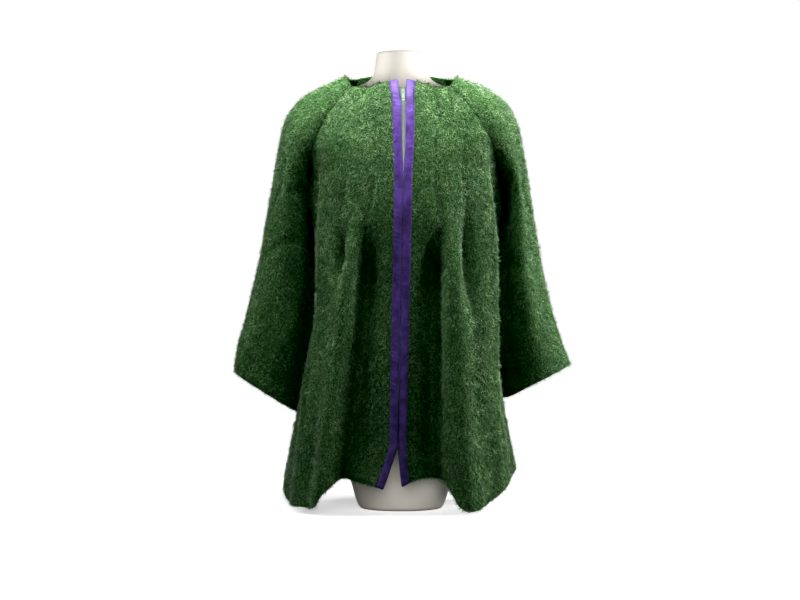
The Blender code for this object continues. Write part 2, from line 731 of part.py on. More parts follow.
def panel_grids():
    """Outer grids and shared wall directions of every cloth panel."""
    grids = {
        "front_right": front_grid(RIGHT),
        "front_left": front_grid(LEFT),
        "back": back_grid(),
        "sleeve_right": sleeve_grid(RIGHT),
        "sleeve_left": sleeve_grid(LEFT),
    }
    tilts = {name: grid_normals(grid) for name, grid in grids.items()}
    for name in ("front_right", "front_left", "back"):
        if np.sum(tilts[name] * grids[name] * (1, 1, 0)) < 0:
            tilts[name] *= -1
    for name in ("sleeve_right", "sleeve_left"):
        middle = grids[name].mean(axis=1, keepdims=True)
        if np.sum(tilts[name] * (grids[name] - middle)) < 0:
            tilts[name] *= -1
    tilts = {name: smooth_tilts(tilt) for name, tilt in tilts.items()}
    start = len(front_places(RIGHT)) - len(raglan_places(RIGHT))
    raglan = len(raglan_places(RIGHT))
    share_seam(tilts["front_right"][0, start:], tilts["sleeve_right"][:raglan, 0])
    share_seam(tilts["front_left"][0, start:], tilts["sleeve_left"][:raglan, 0])
    share_seam(tilts["back"][0, :raglan][::-1], tilts["sleeve_right"][:raglan, -1])
    share_seam(tilts["back"][0, -raglan:], tilts["sleeve_left"][:raglan, -1])
    for name in ("sleeve_right", "sleeve_left"):
        share_seam(tilts[name][raglan - 1:, 0], tilts[name][raglan - 1:, -1])
    return grids, tilts, start, raglan


def match_side_seams(grids, tilts):
    """Lay the back's side edges on the fronts' side edges, row for row by height."""
    for name, column_index in (("front_right", 0), ("front_left", -1)):
        front = grids[name][:, -1]
        back = grids["back"][:, column_index]
        for axis in range(3):
            rows = np.linspace(0, 1, len(back))
            back[:, axis] = np.interp(rows, np.linspace(0, 1, len(front)), front[:, axis])
        share = np.stack([np.interp(rows, np.linspace(0, 1, len(front)), tilts[name][:, -1, axis])
                          for axis in range(3)], axis=1)
        share_seam(share, tilts["back"][:, column_index])
        for axis in range(3):
            tilts[name][:, -1, axis] = np.interp(np.linspace(0, 1, len(front)), rows, share[:, axis])


def open_seams(grids, tilts, start, raglan):
    """Set neighbouring panels apart along every seam."""
    edges = []
    for name in ("front_right", "front_left"):
        edges.append((name, np.s_[0, start:], np.s_[1, start:]))
        edges.append((name, np.s_[:, -1], np.s_[:, -2]))
    edges.append(("back", np.s_[0, :raglan], np.s_[1, :raglan]))
    edges.append(("back", np.s_[0, -raglan:], np.s_[1, -raglan:]))
    edges.append(("back", np.s_[:, 0], np.s_[:, 1]))
    edges.append(("back", np.s_[:, -1], np.s_[:, -2]))
    for name in ("sleeve_right", "sleeve_left"):
        edges.append((name, np.s_[:, 0], np.s_[:, 1]))
        edges.append((name, np.s_[:, -1], np.s_[:, -2]))
    moves = [(name, edge, open_seam(grids[name][edge], tilts[name][edge], grids[name][inside])
              - grids[name][edge]) for name, edge, inside in edges]
    for name, edge, move in moves:
        grids[name][edge] += move


def square_front_edges(tilts):
    """Stand the walls under the bindings straight behind their outside."""
    for name in ("front_right", "front_left"):
        for place, keep in ((0, 0.0), (1, 0.0), (2, 0.5)):
            tilts[name][:, place, 0] *= keep
            tilts[name][:, place] /= np.linalg.norm(tilts[name][:, place], axis=1)[:, None]


def build_cloth():
    """All cloth panels; gives back the fronts' grids and wall directions for their trim."""
    grids, tilts, start, raglan = panel_grids()
    match_side_seams(grids, tilts)
    square_front_edges(tilts)
    open_seams(grids, tilts, start, raglan)
    for name, grid in grids.items():
        flip = name in ("front_right", "sleeve_right", "back")
        sheet_solid(name, grid, grid - tilts[name] * WALL, MOHAIR, flip)
    return grids, tilts


def strip_solid(name, section, paint, flip):
    """Closed bar from rings of points, given as rows by ring points."""
    rows, count = section.shape[:2]
    points = section.reshape(-1, 3)
    faces = []
    for row in range(rows - 1):
        for place in range(count):
            following = (place + 1) % count
            faces.append((row * count + place, row * count + following,
                          (row + 1) * count + following, (row + 1) * count + place))
    faces.append(tuple(reversed(range(count))))
    faces.append(tuple(range((rows - 1) * count, rows * count)))
    if flip:
        faces = [tuple(reversed(face)) for face in faces]
    return make_object(name, points, faces, paint)


def build_binding(name, grid, tilt, side):
    """Strip folded round a front edge, made from the front's first three columns moved out."""
    outer = grid[:, :3]
    inner = outer - tilt[:, :3] * WALL
    edge = np.array((-side, 0.0, 0.0))
    gap = tilt[:, :3] * TRIM_GAP
    reach = tilt[:, :3] * BINDING_REACH
    near = edge * TRIM_GAP
    far = edge * BINDING_REACH
    ring = [
        outer[:, 2] + reach[:, 2],
        outer[:, 1] + reach[:, 1],
        outer[:, 0] + reach[:, 0] + far,
        inner[:, 0] - reach[:, 0] + far,
        inner[:, 1] - reach[:, 1],
        inner[:, 2] - reach[:, 2],
        inner[:, 2] - gap[:, 2],
        inner[:, 1] - gap[:, 1],
        inner[:, 0] - gap[:, 0] + near,
        outer[:, 0] + gap[:, 0] + near,
        outer[:, 1] + gap[:, 1],
        outer[:, 2] + gap[:, 2],
    ]
    return strip_solid(name, np.stack(ring, axis=1), SATIN, side == RIGHT)


def between_edges(grids, tilts, heights, depth):
    """Points midway between the two fronts' edges, a depth below the one that lies farther in."""
    points = []
    for name in ("front_right", "front_left"):
        edge = grids[name][:, 0] - tilts[name][:, 0] * depth
        order = np.argsort(edge[:, 2])
        points.append([np.interp(heights, edge[order, 2], edge[order, axis]) for axis in range(3)])
    middle = np.mean(points, axis=0).T
    middle[:, 1] = np.max(points, axis=0)[1]
    middle[:, 2] = heights
    return middle


def box_ring(centre, across, out, width, wall):
    """Four corners of a bar's section at each row."""
    half = across * width / 2
    deep = out * wall / 2
    return np.stack([centre - half + deep, centre - half - deep,
                     centre + half - deep, centre + half + deep], axis=1)


def zip_heights(grids, top, bottom):
    """Heights of the right front's edge rows between two limits, with the limits."""
    rows = grids["front_right"][:, 0, 2]
    inside = rows[(rows < top - 0.004) & (rows > bottom + 0.004)]
    return np.concatenate([[top], np.sort(inside)[::-1], [bottom]])


def build_tape(name, grids, tilts, side):
    """Zip tape behind a front edge, from beside the chain to under the binding."""
    heights = zip_heights(grids, TAPE_TOP, ZIP_BOTTOM)
    depth = WALL + BINDING_REACH + TRIM_GAP
    start = between_edges(grids, tilts, heights, depth)
    start[:, 0] += side * (CHAIN_WIDTH / 2 + TRIM_GAP)
    panel = grids[name.replace("zip_tape", "front")]
    tilt = tilts[name.replace("zip_tape", "front")]
    line = panel[:, 1] - tilt[:, 1] * depth
    order = np.argsort(line[:, 2])
    line = line[order]
    inward = -tilt[order, 1]
    stop = np.stack([np.interp(heights, line[:, 2], line[:, axis]) for axis in range(3)], axis=1)
    wall = np.stack([np.interp(heights, line[:, 2], inward[:, axis]) for axis in range(3)], axis=1)
    wall *= TAPE_WALL
    ring = np.stack([start, stop, stop + wall, start + wall], axis=1)
    return strip_solid(name, ring, ZIP_CLOTH, side == LEFT)


def build_chain(grids, tilts):
    """Closed zip chain as one bar behind the meeting edges, and the stop below it."""
    depth = WALL + BINDING_REACH + TRIM_GAP + CHAIN_WALL / 2
    top = SLIDER_HEIGHT - SLIDER_LENGTH / 2 - TRIM_GAP
    heights = zip_heights(grids, top, ZIP_BOTTOM)
    centre = between_edges(grids, tilts, heights, depth)
    across = np.array((1.0, 0.0, 0.0))
    out = np.array((0.0, -1.0, 0.0))
    strip_solid("zip_chain", box_ring(centre, across, out, CHAIN_WIDTH, CHAIN_WALL), ZIP_PLASTIC, False)
    heights = np.array((ZIP_BOTTOM - TRIM_GAP, ZIP_BOTTOM - TRIM_GAP - STOP_LENGTH))
    depth = WALL + BINDING_REACH + TRIM_GAP + STOP_WALL / 2
    centre = between_edges(grids, tilts, heights, depth)
    strip_solid("zip_stop", box_ring(centre, across, out, STOP_WIDTH, STOP_WALL), ZIP_PLASTIC, False)


def slider_frame(grids, tilts):
    """Place of the slider's front face: X across, Y up the zip and Z out of the cloth."""
    ends = between_edges(grids, tilts, np.array((SLIDER_HEIGHT, SLIDER_HEIGHT - 0.015)), SLIDER_DEPTH)
    up = Vector(ends[0] - ends[1])
    up.x = 0.0
    up.normalize()
    across = Vector((1.0, 0.0, 0.0))
    out = across.cross(up)
    frame = Matrix((across, up, out)).transposed().to_4x4()
    frame.translation = Vector((SLIDER_X, ends[0][1], SLIDER_HEIGHT))
    return frame


def flat_shape(name, outlines, wall, frame, paint):
    """Flat plate with holes: the first outline is its edge, the others are holes."""
    curve = bpy.data.curves.new(name, "CURVE")
    curve.dimensions = "2D"
    curve.fill_mode = "BOTH"
    curve.extrude = wall / 2
    for outline in outlines:
        spline = curve.splines.new("POLY")
        spline.points.add(len(outline) - 1)
        spline.use_cyclic_u = True
        for place, (x, y) in zip(spline.points, outline):
            place.co = (x, y, 0.0, 1.0)
    source = bpy.data.objects.new(name + " outline", curve)
    bpy.context.scene.collection.objects.link(source)
    mesh = source.to_mesh()
    welded = bmesh.new()
    welded.from_mesh(mesh)
    bmesh.ops.remove_doubles(welded, verts=welded.verts, dist=WELD)
    bmesh.ops.recalc_face_normals(welded, faces=welded.faces)
    points = [frame @ point.co for point in welded.verts]
    faces = [tuple(point.index for point in face.verts) for face in welded.faces]
    welded.free()
    source.to_mesh_clear()
    bpy.data.objects.remove(source)
    return make_object(name, points, faces, paint)


def rectangle(low_x, high_x, low_y, high_y, corner=0.0):
    """Outline of a rectangle with rounded corners."""
    if corner == 0.0:
        return [(low_x, low_y), (high_x, low_y), (high_x, high_y), (low_x, high_y)]
    outline = []
    centres = ((high_x - corner, low_y + corner), (high_x - corner, high_y - corner),
               (low_x + corner, high_y - corner), (low_x + corner, low_y + corner))
    for quarter, (x, y) in enumerate(centres):
        for step in range(CORNER_STEPS + 1):
            angle = math.pi / 2 * (quarter - 1 + step / CORNER_STEPS)
            outline.append((x + corner * math.cos(angle), y + corner * math.sin(angle)))
    return outline


def circle(x, y, diameter):
    """Outline of a round hole."""
    turns = [2 * math.pi * step / HOLE_SIDES for step in range(HOLE_SIDES)]
    return [(x + diameter / 2 * math.cos(turn), y + diameter / 2 * math.sin(turn)) for turn in turns]


def build_slider(frame):
    """Slider block with its bridge."""
    half = SLIDER_WIDTH / 2
    length = SLIDER_LENGTH / 2
    outline = [(-half * SLIDER_TAPER, -length), (half * SLIDER_TAPER, -length), (half, -length * 0.2),
               (half, length), (-half, length), (-half, -length * 0.2)]
    sink = Matrix.Translation((0.0, 0.0, -SLIDER_WALL / 2))
    block = flat_shape("zip_slider", [outline], SLIDER_WALL, frame @ sink, ZIP_PLASTIC)
    reach = BRIDGE_LENGTH / 2
    hole = reach - BRIDGE_BAR
    loop = [rectangle(-reach, reach, -BRIDGE_SINK, BRIDGE_RISE, BRIDGE_CORNER),
            rectangle(-hole, hole, BRIDGE_WEB, BRIDGE_RISE - BRIDGE_BAR)]
    side_on = Matrix(((0.0, 0.0, 1.0), (1.0, 0.0, 0.0), (0.0, 1.0, 0.0))).to_4x4()
    bridge = flat_shape("bridge", loop, BRIDGE_WIDTH, frame @ side_on, ZIP_PLASTIC)
    join = block.modifiers.new("bridge", "BOOLEAN")
    join.operation = "UNION"
    join.solver = "EXACT"
    join.object = bridge
    view = bpy.context.evaluated_depsgraph_get()
    mesh = bpy.data.meshes.new_from_object(block.evaluated_get(view))
    block.modifiers.remove(join)
    block.data = mesh
    bpy.data.objects.remove(bridge)


def build_tab(frame):
    """Pull tab hanging from its bar inside the bridge."""
    half = TAB_WIDTH / 2
    top = TAB_BAR / 2
    slot = rectangle(-TAB_SLOT_WIDTH / 2, TAB_SLOT_WIDTH / 2, -top - TAB_SLOT_LENGTH, -top, 0.0004)
    hole = circle(0.0, top - TAB_LENGTH + TAB_HOLE_RISE, TAB_HOLE)
    edge = rectangle(-half, half, top - TAB_LENGTH, top, TAB_CORNER)
    lift = Matrix.Translation((0.0, 0.0, PIVOT_OUT))
    flat_shape("zip_pull_tab", [edge, slot, hole], TAB_WALL, frame @ lift, ZIP_PLASTIC)


def reset_scene():
    """Empty scene."""
    for part in list(bpy.data.objects):
        bpy.data.objects.remove(part)
    bpy.context.scene.unit_settings.system = "METRIC"


def build_form():
    """Dress form: rounded sections from its flat base to its flat-topped neck."""
    angle = np.linspace(0, 2 * math.pi, FORM_SIDES, endpoint=False)
    rings = []
    for row in FORM_SECTIONS:
        power = 2 / row.squareness
        across = np.sign(np.sin(angle)) * np.abs(np.sin(angle)) ** power
        along = np.sign(np.cos(angle)) * np.abs(np.cos(angle)) ** power
        depth = np.where(along > 0, row.front, row.back)
        ring = np.stack([row.half_width * across, FORM_SHIFT - depth * along,
                         np.full(FORM_SIDES, row.height)], axis=1)
        rings.append(ring)
    strip_solid("dress_form", np.stack(rings), FORM_PAINT, False)


def build_all():
    """Every piece of the jacket and the form."""
    reset_scene()
    grids, tilts = build_cloth()
    build_binding("binding_right", grids["front_right"], tilts["front_right"], RIGHT)
    build_binding("binding_left", grids["front_left"], tilts["front_left"], LEFT)
    build_tape("zip_tape_right", grids, tilts, RIGHT)
    build_tape("zip_tape_left", grids, tilts, LEFT)
    build_chain(grids, tilts)
    frame = slider_frame(grids, tilts)
    build_slider(frame)
    build_tab(frame)
    build_form()


build_all()
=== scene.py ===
"""Looks of a mohair jacket with raglan sleeves and a zipped front, on a limbless dress form.

Metres, +Z up, front facing -Y. Right and left are the wearer's, so right is at -X. The cloth
follows the same tables as the solids, on a finer grid.
"""

import math
from collections import namedtuple

import bmesh
import bpy
import numpy as np
from bpy.props import FloatProperty, FloatVectorProperty, IntProperty, PointerProperty
from mathutils import Euler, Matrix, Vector, noise


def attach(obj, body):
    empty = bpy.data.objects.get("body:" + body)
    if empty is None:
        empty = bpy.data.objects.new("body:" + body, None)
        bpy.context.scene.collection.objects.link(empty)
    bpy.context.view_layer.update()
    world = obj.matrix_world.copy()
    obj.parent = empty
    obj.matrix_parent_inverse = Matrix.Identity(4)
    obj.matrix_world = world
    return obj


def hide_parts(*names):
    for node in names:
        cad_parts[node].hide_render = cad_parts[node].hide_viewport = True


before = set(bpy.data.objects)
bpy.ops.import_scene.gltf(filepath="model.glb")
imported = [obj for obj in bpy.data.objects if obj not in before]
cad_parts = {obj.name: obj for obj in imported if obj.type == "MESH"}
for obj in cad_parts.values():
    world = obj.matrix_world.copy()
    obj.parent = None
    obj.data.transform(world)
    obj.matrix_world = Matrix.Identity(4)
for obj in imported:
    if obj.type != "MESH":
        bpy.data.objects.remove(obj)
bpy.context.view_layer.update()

bl_info = {
    "name": "Mohair Jacket",
    "version": (1, 0, 0),
    "blender": (4, 5, 0),
    "location": "View3D > Sidebar > Jacket",
    "description": "Builds the cloth, nap, bindings, zip and dress form of a mohair jacket",
    "category": "Add Mesh",
}

RIGHT = -1.0
LEFT = 1.0
SIDE_NAMES = {RIGHT: "right", LEFT: "left"}

# Solids: wall of the cloth, gaps and trim
WALL = 0.004
TRIM_GAP = 0.0003
BINDING_WIDTH = 0.015
BINDING_REACH = 0.0013
CHAIN_WIDTH = 0.0050
TAPE_TOP = 0.7800
ZIP_BOTTOM = 0.1300
SLIDER_HEIGHT = 0.7720
SLIDER_LENGTH = 0.0120

# Where the nap's ground lies in the wall, and how the edges of the cloth are turned
GROUND_DEPTH = 0.0020
BOUND_DEPTH = 0.0004
EDGE_NAP = 0.0030
HEM_TURN = 0.028
HEM_SWELL = 0.0010
SIDE_FILL = 0.0012
SIDE_REACH = 0.060
SEAM_SINK = 0.0004
SEAM_REACH = 0.004
ROLL = 0.0012

# Grid
BOUND_CELLS = 4
NECK_CELLS = 30
RAGLAN_CELLS = 50
FRONT_ROWS = 90
BACK_NECK_CELLS = 30
BACK_RAGLAN_CELLS = 30
BACK_ROWS = 90
SLEEVE_ROWS = 52
SLEEVE_RAGLAN_ROWS = 44
SLEEVE_CELLS = 76

# Shares of a front that neckline and binding take, and over what reach moves of the cloth fade out
NECK_SHARE = 0.36
BINDING_SHARE = 0.06
EDGE_BLEND = 0.18
EDGE_REACH = 0.55
SPREAD_REACH = 0.8
TUCK_START = 0.06
TUCK_END = 0.05
SEAM_FADE = 0.05
BINDING_FADE = 0.08
FRONT_SIDE_FADE = 0.10
BACK_SIDE_FADE = 0.06
SLEEVE_SEAM_FADE = 0.10
SLEEVE_NECK_FADE = 0.2
LOWER_SLEEVE = 0.4
HEM_STEP = 0.006
BOUND_END = 0.13
BOUND_FADE = 0.06
BOUND_HEM_FADE = 0.05
WALL_PASSES = 3

Section = namedtuple("Section", "height half_width front back squareness")
BODY = (
    Section(0.826, 0.200, 0.070, 0.076, 1.2),
    Section(0.805, 0.200, 0.078, 0.084, 1.25),
    Section(0.786, 0.200, 0.087, 0.092, 1.35),
    Section(0.758, 0.200, 0.100, 0.103, 1.8),
    Section(0.721, 0.200, 0.113, 0.115, 2.2),
    Section(0.678, 0.198, 0.125, 0.123, 2.3),
    Section(0.637, 0.182, 0.133, 0.130, 2.3),
    Section(0.590, 0.172, 0.138, 0.132, 2.4),
    Section(0.520, 0.165, 0.141, 0.134, 2.5),
    Section(0.390, 0.166, 0.145, 0.138, 2.5),
    Section(0.200, 0.200, 0.150, 0.149, 2.4),
    Section(0.010, 0.224, 0.158, 0.168, 2.3),
)

# Front edges: where the outside of each binding stands, seen from the front
Edge = namedtuple("Edge", "height right left")
EDGES = (
    Edge(0.800, -0.0060, 0.0098),
    Edge(0.786, -0.0050, 0.0094),
    Edge(0.761, -0.0008, 0.0087),
    Edge(0.746, 0.0007, 0.0085),
    Edge(0.700, 0.0014, 0.0084),
    Edge(0.660, 0.0022, 0.0074),
    Edge(0.622, 0.0036, 0.0048),
    Edge(0.560, 0.0031, 0.0037),
    Edge(0.390, -0.0003, 0.0003),
    Edge(0.210, -0.0044, -0.0038),
    Edge(0.130, -0.0061, -0.0055),
    Edge(0.084, -0.0190, -0.0025),
    Edge(0.045, -0.0330, 0.0022),
)

# A line that the columns of a front follow, as shares of the front's width
Line = namedtuple("Line", "chest release hem")
FRONT_LINES = {
    RIGHT: (Line(0.13, 0.24, 0.37), Line(0.37, 0.44, 0.50)),
    LEFT: (Line(0.18, 0.24, 0.24), Line(0.39, 0.45, 0.45)),
}
CHEST_HEIGHT = 0.690
RELEASE_HEIGHT = 0.525
HEM_HEIGHT = 0.030

# Folds: where they run, the heights where they start, are full and end, and how far they stand out
Fold = namedtuple("Fold", "name place start full end rise hem_rise half_width steep")
FRONT_FOLDS = {
    RIGHT: (
        Fold("centre hollow", 0.10, 0.57, 0.37, 0.05, -0.014, -0.020, 0.120, 1.0),
        Fold("inner valley", 0.24, 0.54, 0.42, 0.05, -0.038, -0.042, 0.080, 0.62),
        Fold("cone", 0.38, 0.56, 0.36, 0.05, 0.017, 0.028, 0.110, 1.0),
        Fold("outer dip", 0.44, 0.54, 0.47, 0.38, -0.020, 0.000, 0.040, 1.0),
        Fold("outer ridge", 0.63, 0.64, 0.48, 0.05, 0.010, 0.008, 0.080, 1.0),
        Fold("low trough", 0.76, 0.38, 0.24, 0.05, -0.010, -0.002, 0.050, 1.0),
        Fold("underarm swell", 0.90, 0.62, 0.56, 0.48, 0.0060, 0.000, 0.060, 1.0),
        Fold("side hollow", 1.00, 0.60, 0.32, 0.04, -0.032, 0.000, 0.140, 1.0),
    ),
    LEFT: (
        Fold("centre hollow", 0.10, 0.57, 0.37, 0.05, -0.014, -0.022, 0.120, 1.0),
        Fold("inner valley", 0.24, 0.54, 0.42, 0.05, -0.038, -0.044, 0.080, 0.62),
        Fold("cone", 0.38, 0.56, 0.36, 0.05, 0.016, 0.030, 0.110, 1.0),
        Fold("outer dip", 0.45, 0.58, 0.46, 0.31, -0.021, 0.000, 0.046, 1.0),
        Fold("outer ridge", 0.64, 0.68, 0.48, 0.05, 0.012, 0.006, 0.090, 1.0),
        Fold("low trough", 0.80, 0.30, 0.18, 0.05, -0.006, -0.002, 0.060, 1.0),
        Fold("underarm swell", 0.90, 0.62, 0.56, 0.48, 0.0060, 0.000, 0.060, 1.0),
        Fold("side hollow", 1.00, 0.60, 0.32, 0.04, -0.032, 0.000, 0.140, 1.0),
    ),
}
TUCK_DEPTH = 0.0030
TUCK_HALF_WIDTH = 0.016
TUCK_TOP = 0.765

# The back runs from the right side seam (0) over centre back (0.5) to the left side seam (1)
BACK_FOLDS = (
    Fold("right side hollow", 0.00, 0.60, 0.32, 0.04, -0.032, 0.000, 0.085, 1.0),
    Fold("right valley", 0.27, 0.52, 0.32, 0.05, -0.016, -0.026, 0.045, 1.0),
    Fold("right cone", 0.39, 0.50, 0.26, 0.05, 0.006, 0.014, 0.055, 1.0),
    Fold("centre valley", 0.52, 0.46, 0.26, 0.05, -0.010, -0.020, 0.040, 1.0),
    Fold("left cone", 0.63, 0.50, 0.26, 0.05, 0.007, 0.014, 0.055, 1.0),
    Fold("left valley", 0.74, 0.54, 0.34, 0.05, -0.015, -0.024, 0.045, 1.0),
    Fold("left side hollow", 1.00, 0.60, 0.32, 0.04, -0.032, 0.000, 0.085, 1.0),
)

Hem = namedtuple("Hem", "place height")
FRONT_HEMS = {
    RIGHT: (
        Hem(0.00, 0.046),
        Hem(0.12, 0.055),
        Hem(0.25, 0.063),
        Hem(0.31, 0.042),
        Hem(0.39, 0.020),
        Hem(0.50, 0.012),
        Hem(0.66, 0.012),
        Hem(0.80, 0.020),
        Hem(0.90, 0.036),
        Hem(1.00, 0.056),
    ),
    LEFT: (
        Hem(0.00, 0.051),
        Hem(0.15, 0.065),
        Hem(0.26, 0.062),
        Hem(0.29, 0.040),
        Hem(0.325, 0.015),
        Hem(0.36, 0.010),
        Hem(0.44, 0.012),
        Hem(0.54, 0.023),
        Hem(0.66, 0.042),
        Hem(0.80, 0.062),
        Hem(1.00, 0.078),
    ),
}
BACK_HEMS = (
    Hem(0.00, 0.056),
    Hem(0.14, 0.050),
    Hem(0.27, 0.058),
    Hem(0.39, 0.046),
    Hem(0.52, 0.054),
    Hem(0.63, 0.046),
    Hem(0.74, 0.058),
    Hem(0.86, 0.056),
    Hem(1.00, 0.074),
)

# Neckline of a front, from its edge to the raglan seam, and of the back, from seam to seam
Neck = namedtuple("Neck", "share height out")
FRONT_NECK = (
    Neck(0.0, 0.794, 0.0850),
    Neck(0.4, 0.788, 0.0840),
    Neck(0.7, 0.782, 0.0770),
    Neck(1.0, 0.786, 0.0620),
)
BACK_NECK = (
    Neck(0.0, 0.815, 0.0600),
    Neck(0.25, 0.822, 0.0760),
    Neck(0.5, 0.823, 0.0800),
    Neck(0.75, 0.822, 0.0760),
    Neck(1.0, 0.815, 0.0600),
)

# A sleeve, from the neckline (0) by the underarm (1) to the cuff (2)
Point = namedtuple("Point", "along x y z")
SLEEVE_OUTER = {
    RIGHT: (
        Point(0.0, 0.106, 0.000, 0.811),
        Point(0.2, 0.151, 0.004, 0.791),
        Point(0.4, 0.196, 0.008, 0.763),
        Point(0.6, 0.221, 0.010, 0.724),
        Point(0.8, 0.233, 0.012, 0.670),
        Point(1.0, 0.245, 0.012, 0.600),
        Point(1.4, 0.271, 0.010, 0.465),
        Point(1.7, 0.294, 0.006, 0.360),
        Point(1.9, 0.312, 0.003, 0.288),
        Point(2.0, 0.314, 0.002, 0.254),
    ),
    LEFT: (
        Point(0.0, 0.108, 0.000, 0.811),
        Point(0.2, 0.157, 0.004, 0.792),
        Point(0.4, 0.198, 0.008, 0.764),
        Point(0.6, 0.220, 0.010, 0.724),
        Point(0.8, 0.232, 0.012, 0.670),
        Point(1.0, 0.243, 0.012, 0.600),
        Point(1.4, 0.267, 0.010, 0.465),
        Point(1.7, 0.291, 0.006, 0.360),
        Point(2.0, 0.320, 0.002, 0.268),
    ),
}
FRONT_SEAM = (
    Point(0.0, 0.091, -0.062, 0.786),
    Point(0.2, 0.116, -0.080, 0.757),
    Point(0.4, 0.141, -0.088, 0.720),
    Point(0.6, 0.160, -0.084, 0.678),
    Point(0.8, 0.169, -0.057, 0.634),
    Point(1.0, 0.173, 0.004, 0.594),
)
BACK_SEAM = (
    Point(0.0, 0.080, 0.060, 0.815),
    Point(0.2, 0.110, 0.076, 0.777),
    Point(0.4, 0.138, 0.090, 0.730),
    Point(0.6, 0.159, 0.087, 0.680),
    Point(0.8, 0.169, 0.060, 0.634),
    Point(1.0, 0.173, 0.004, 0.594),
)
UNDERARM_SEAM = {
    RIGHT: (
        Point(1.0, 0.173, 0.004, 0.594),
        Point(1.1, 0.1670, 0.006, 0.554),
        Point(1.2, 0.1592, 0.008, 0.514),
        Point(1.4, 0.153, 0.012, 0.430),
        Point(1.7, 0.162, 0.014, 0.296),
        Point(2.0, 0.192, 0.014, 0.176),
    ),
    LEFT: (
        Point(1.0, 0.173, 0.004, 0.594),
        Point(1.1, 0.1670, 0.006, 0.555),
        Point(1.2, 0.1592, 0.008, 0.516),
        Point(1.4, 0.153, 0.012, 0.434),
        Point(1.7, 0.160, 0.014, 0.312),
        Point(2.0, 0.188, 0.014, 0.204),
    ),
}

# How much farther out the jacket hangs on the wearer's left than on the right
Spread = namedtuple("Spread", "height wider")
LEFT_SPREAD = (
    Spread(0.800, 0.000),
    Spread(0.720, 0.004),
    Spread(0.660, 0.009),
    Spread(0.620, 0.013),
    Spread(0.580, 0.015),
    Spread(0.500, 0.018),
    Spread(0.360, 0.018),
    Spread(0.300, 0.011),
    Spread(0.250, 0.005),
    Spread(0.180, 0.002),
    Spread(0.100, 0.000),
)

# Depth of a sleeve before and behind, and the angle at which its section starts at the seam
Depth = namedtuple("Depth", "along opening front back")
SLEEVE_DEPTHS = (
    Depth(0.0, 90.0, 0.062, 0.060),
    Depth(0.2, 90.0, 0.084, 0.072),
    Depth(0.4, 88.0, 0.095, 0.083),
    Depth(0.6, 74.0, 0.092, 0.082),
    Depth(0.8, 46.0, 0.084, 0.080),
    Depth(0.9, 25.0, 0.080, 0.078),
    Depth(1.0, 0.0, 0.076, 0.076),
    Depth(1.4, 0.0, 0.064, 0.068),
    Depth(1.7, 0.0, 0.056, 0.060),
    Depth(2.0, 0.0, 0.050, 0.054),
)

# Sleeve folds: place is the share of the way round, start to end run along the sleeve
SleeveFold = namedtuple("SleeveFold", "name place start full end rise half_width")
SLEEVE_FOLDS = {
    RIGHT: (
        SleeveFold("front ridge", 0.26, 0.60, 1.10, 1.60, 0.008, 0.050),
        SleeveFold("inner recess", 0.10, 0.90, 1.40, 2.00, -0.012, 0.055),
        SleeveFold("low ridge", 0.36, 1.40, 1.80, 2.60, 0.005, 0.060),
        SleeveFold("back trough", 0.72, 0.80, 1.30, 1.90, -0.010, 0.060),
    ),
    LEFT: (
        SleeveFold("front ridge", 0.27, 0.65, 1.30, 2.40, 0.007, 0.050),
        SleeveFold("inner recess", 0.12, 0.82, 1.15, 2.50, -0.026, 0.070),
        SleeveFold("front trough", 0.38, 0.90, 1.45, 2.10, -0.006, 0.060),
        SleeveFold("back trough", 0.74, 0.80, 1.35, 2.00, -0.010, 0.060),
    ),
}

# Dress form, a closed stack of rounded sections
FORM_SECTIONS = (
    Section(0.000, 0.076, 0.068, 0.074, 2.1),
    Section(0.004, 0.080, 0.072, 0.078, 2.1),
    Section(0.060, 0.098, 0.082, 0.092, 2.2),
    Section(0.120, 0.126, 0.092, 0.107, 2.2),
    Section(0.200, 0.138, 0.094, 0.112, 2.2),
    Section(0.300, 0.128, 0.090, 0.100, 2.2),
    Section(0.410, 0.108, 0.082, 0.084, 2.1),
    Section(0.500, 0.118, 0.090, 0.088, 2.1),
    Section(0.580, 0.134, 0.104, 0.098, 2.2),
    Section(0.640, 0.154, 0.102, 0.104, 2.3),
    Section(0.690, 0.186, 0.090, 0.096, 2.3),
    Section(0.722, 0.203, 0.078, 0.084, 2.2),
    Section(0.740, 0.206, 0.068, 0.074, 2.1),
    Section(0.755, 0.197, 0.060, 0.067, 2.0),
    Section(0.769, 0.175, 0.055, 0.062, 2.0),
    Section(0.779, 0.143, 0.052, 0.060, 2.0),
    Section(0.788, 0.096, 0.049, 0.057, 2.0),
    Section(0.798, 0.068, 0.046, 0.055, 2.0),
    Section(0.812, 0.053, 0.044, 0.053, 2.0),
    Section(0.848, 0.047, 0.042, 0.052, 2.0),
    Section(0.853, 0.0465, 0.0415, 0.0515, 2.0),
    Section(0.855, 0.0440, 0.0390, 0.0490, 2.0),
)
FORM_SHIFT = 0.004

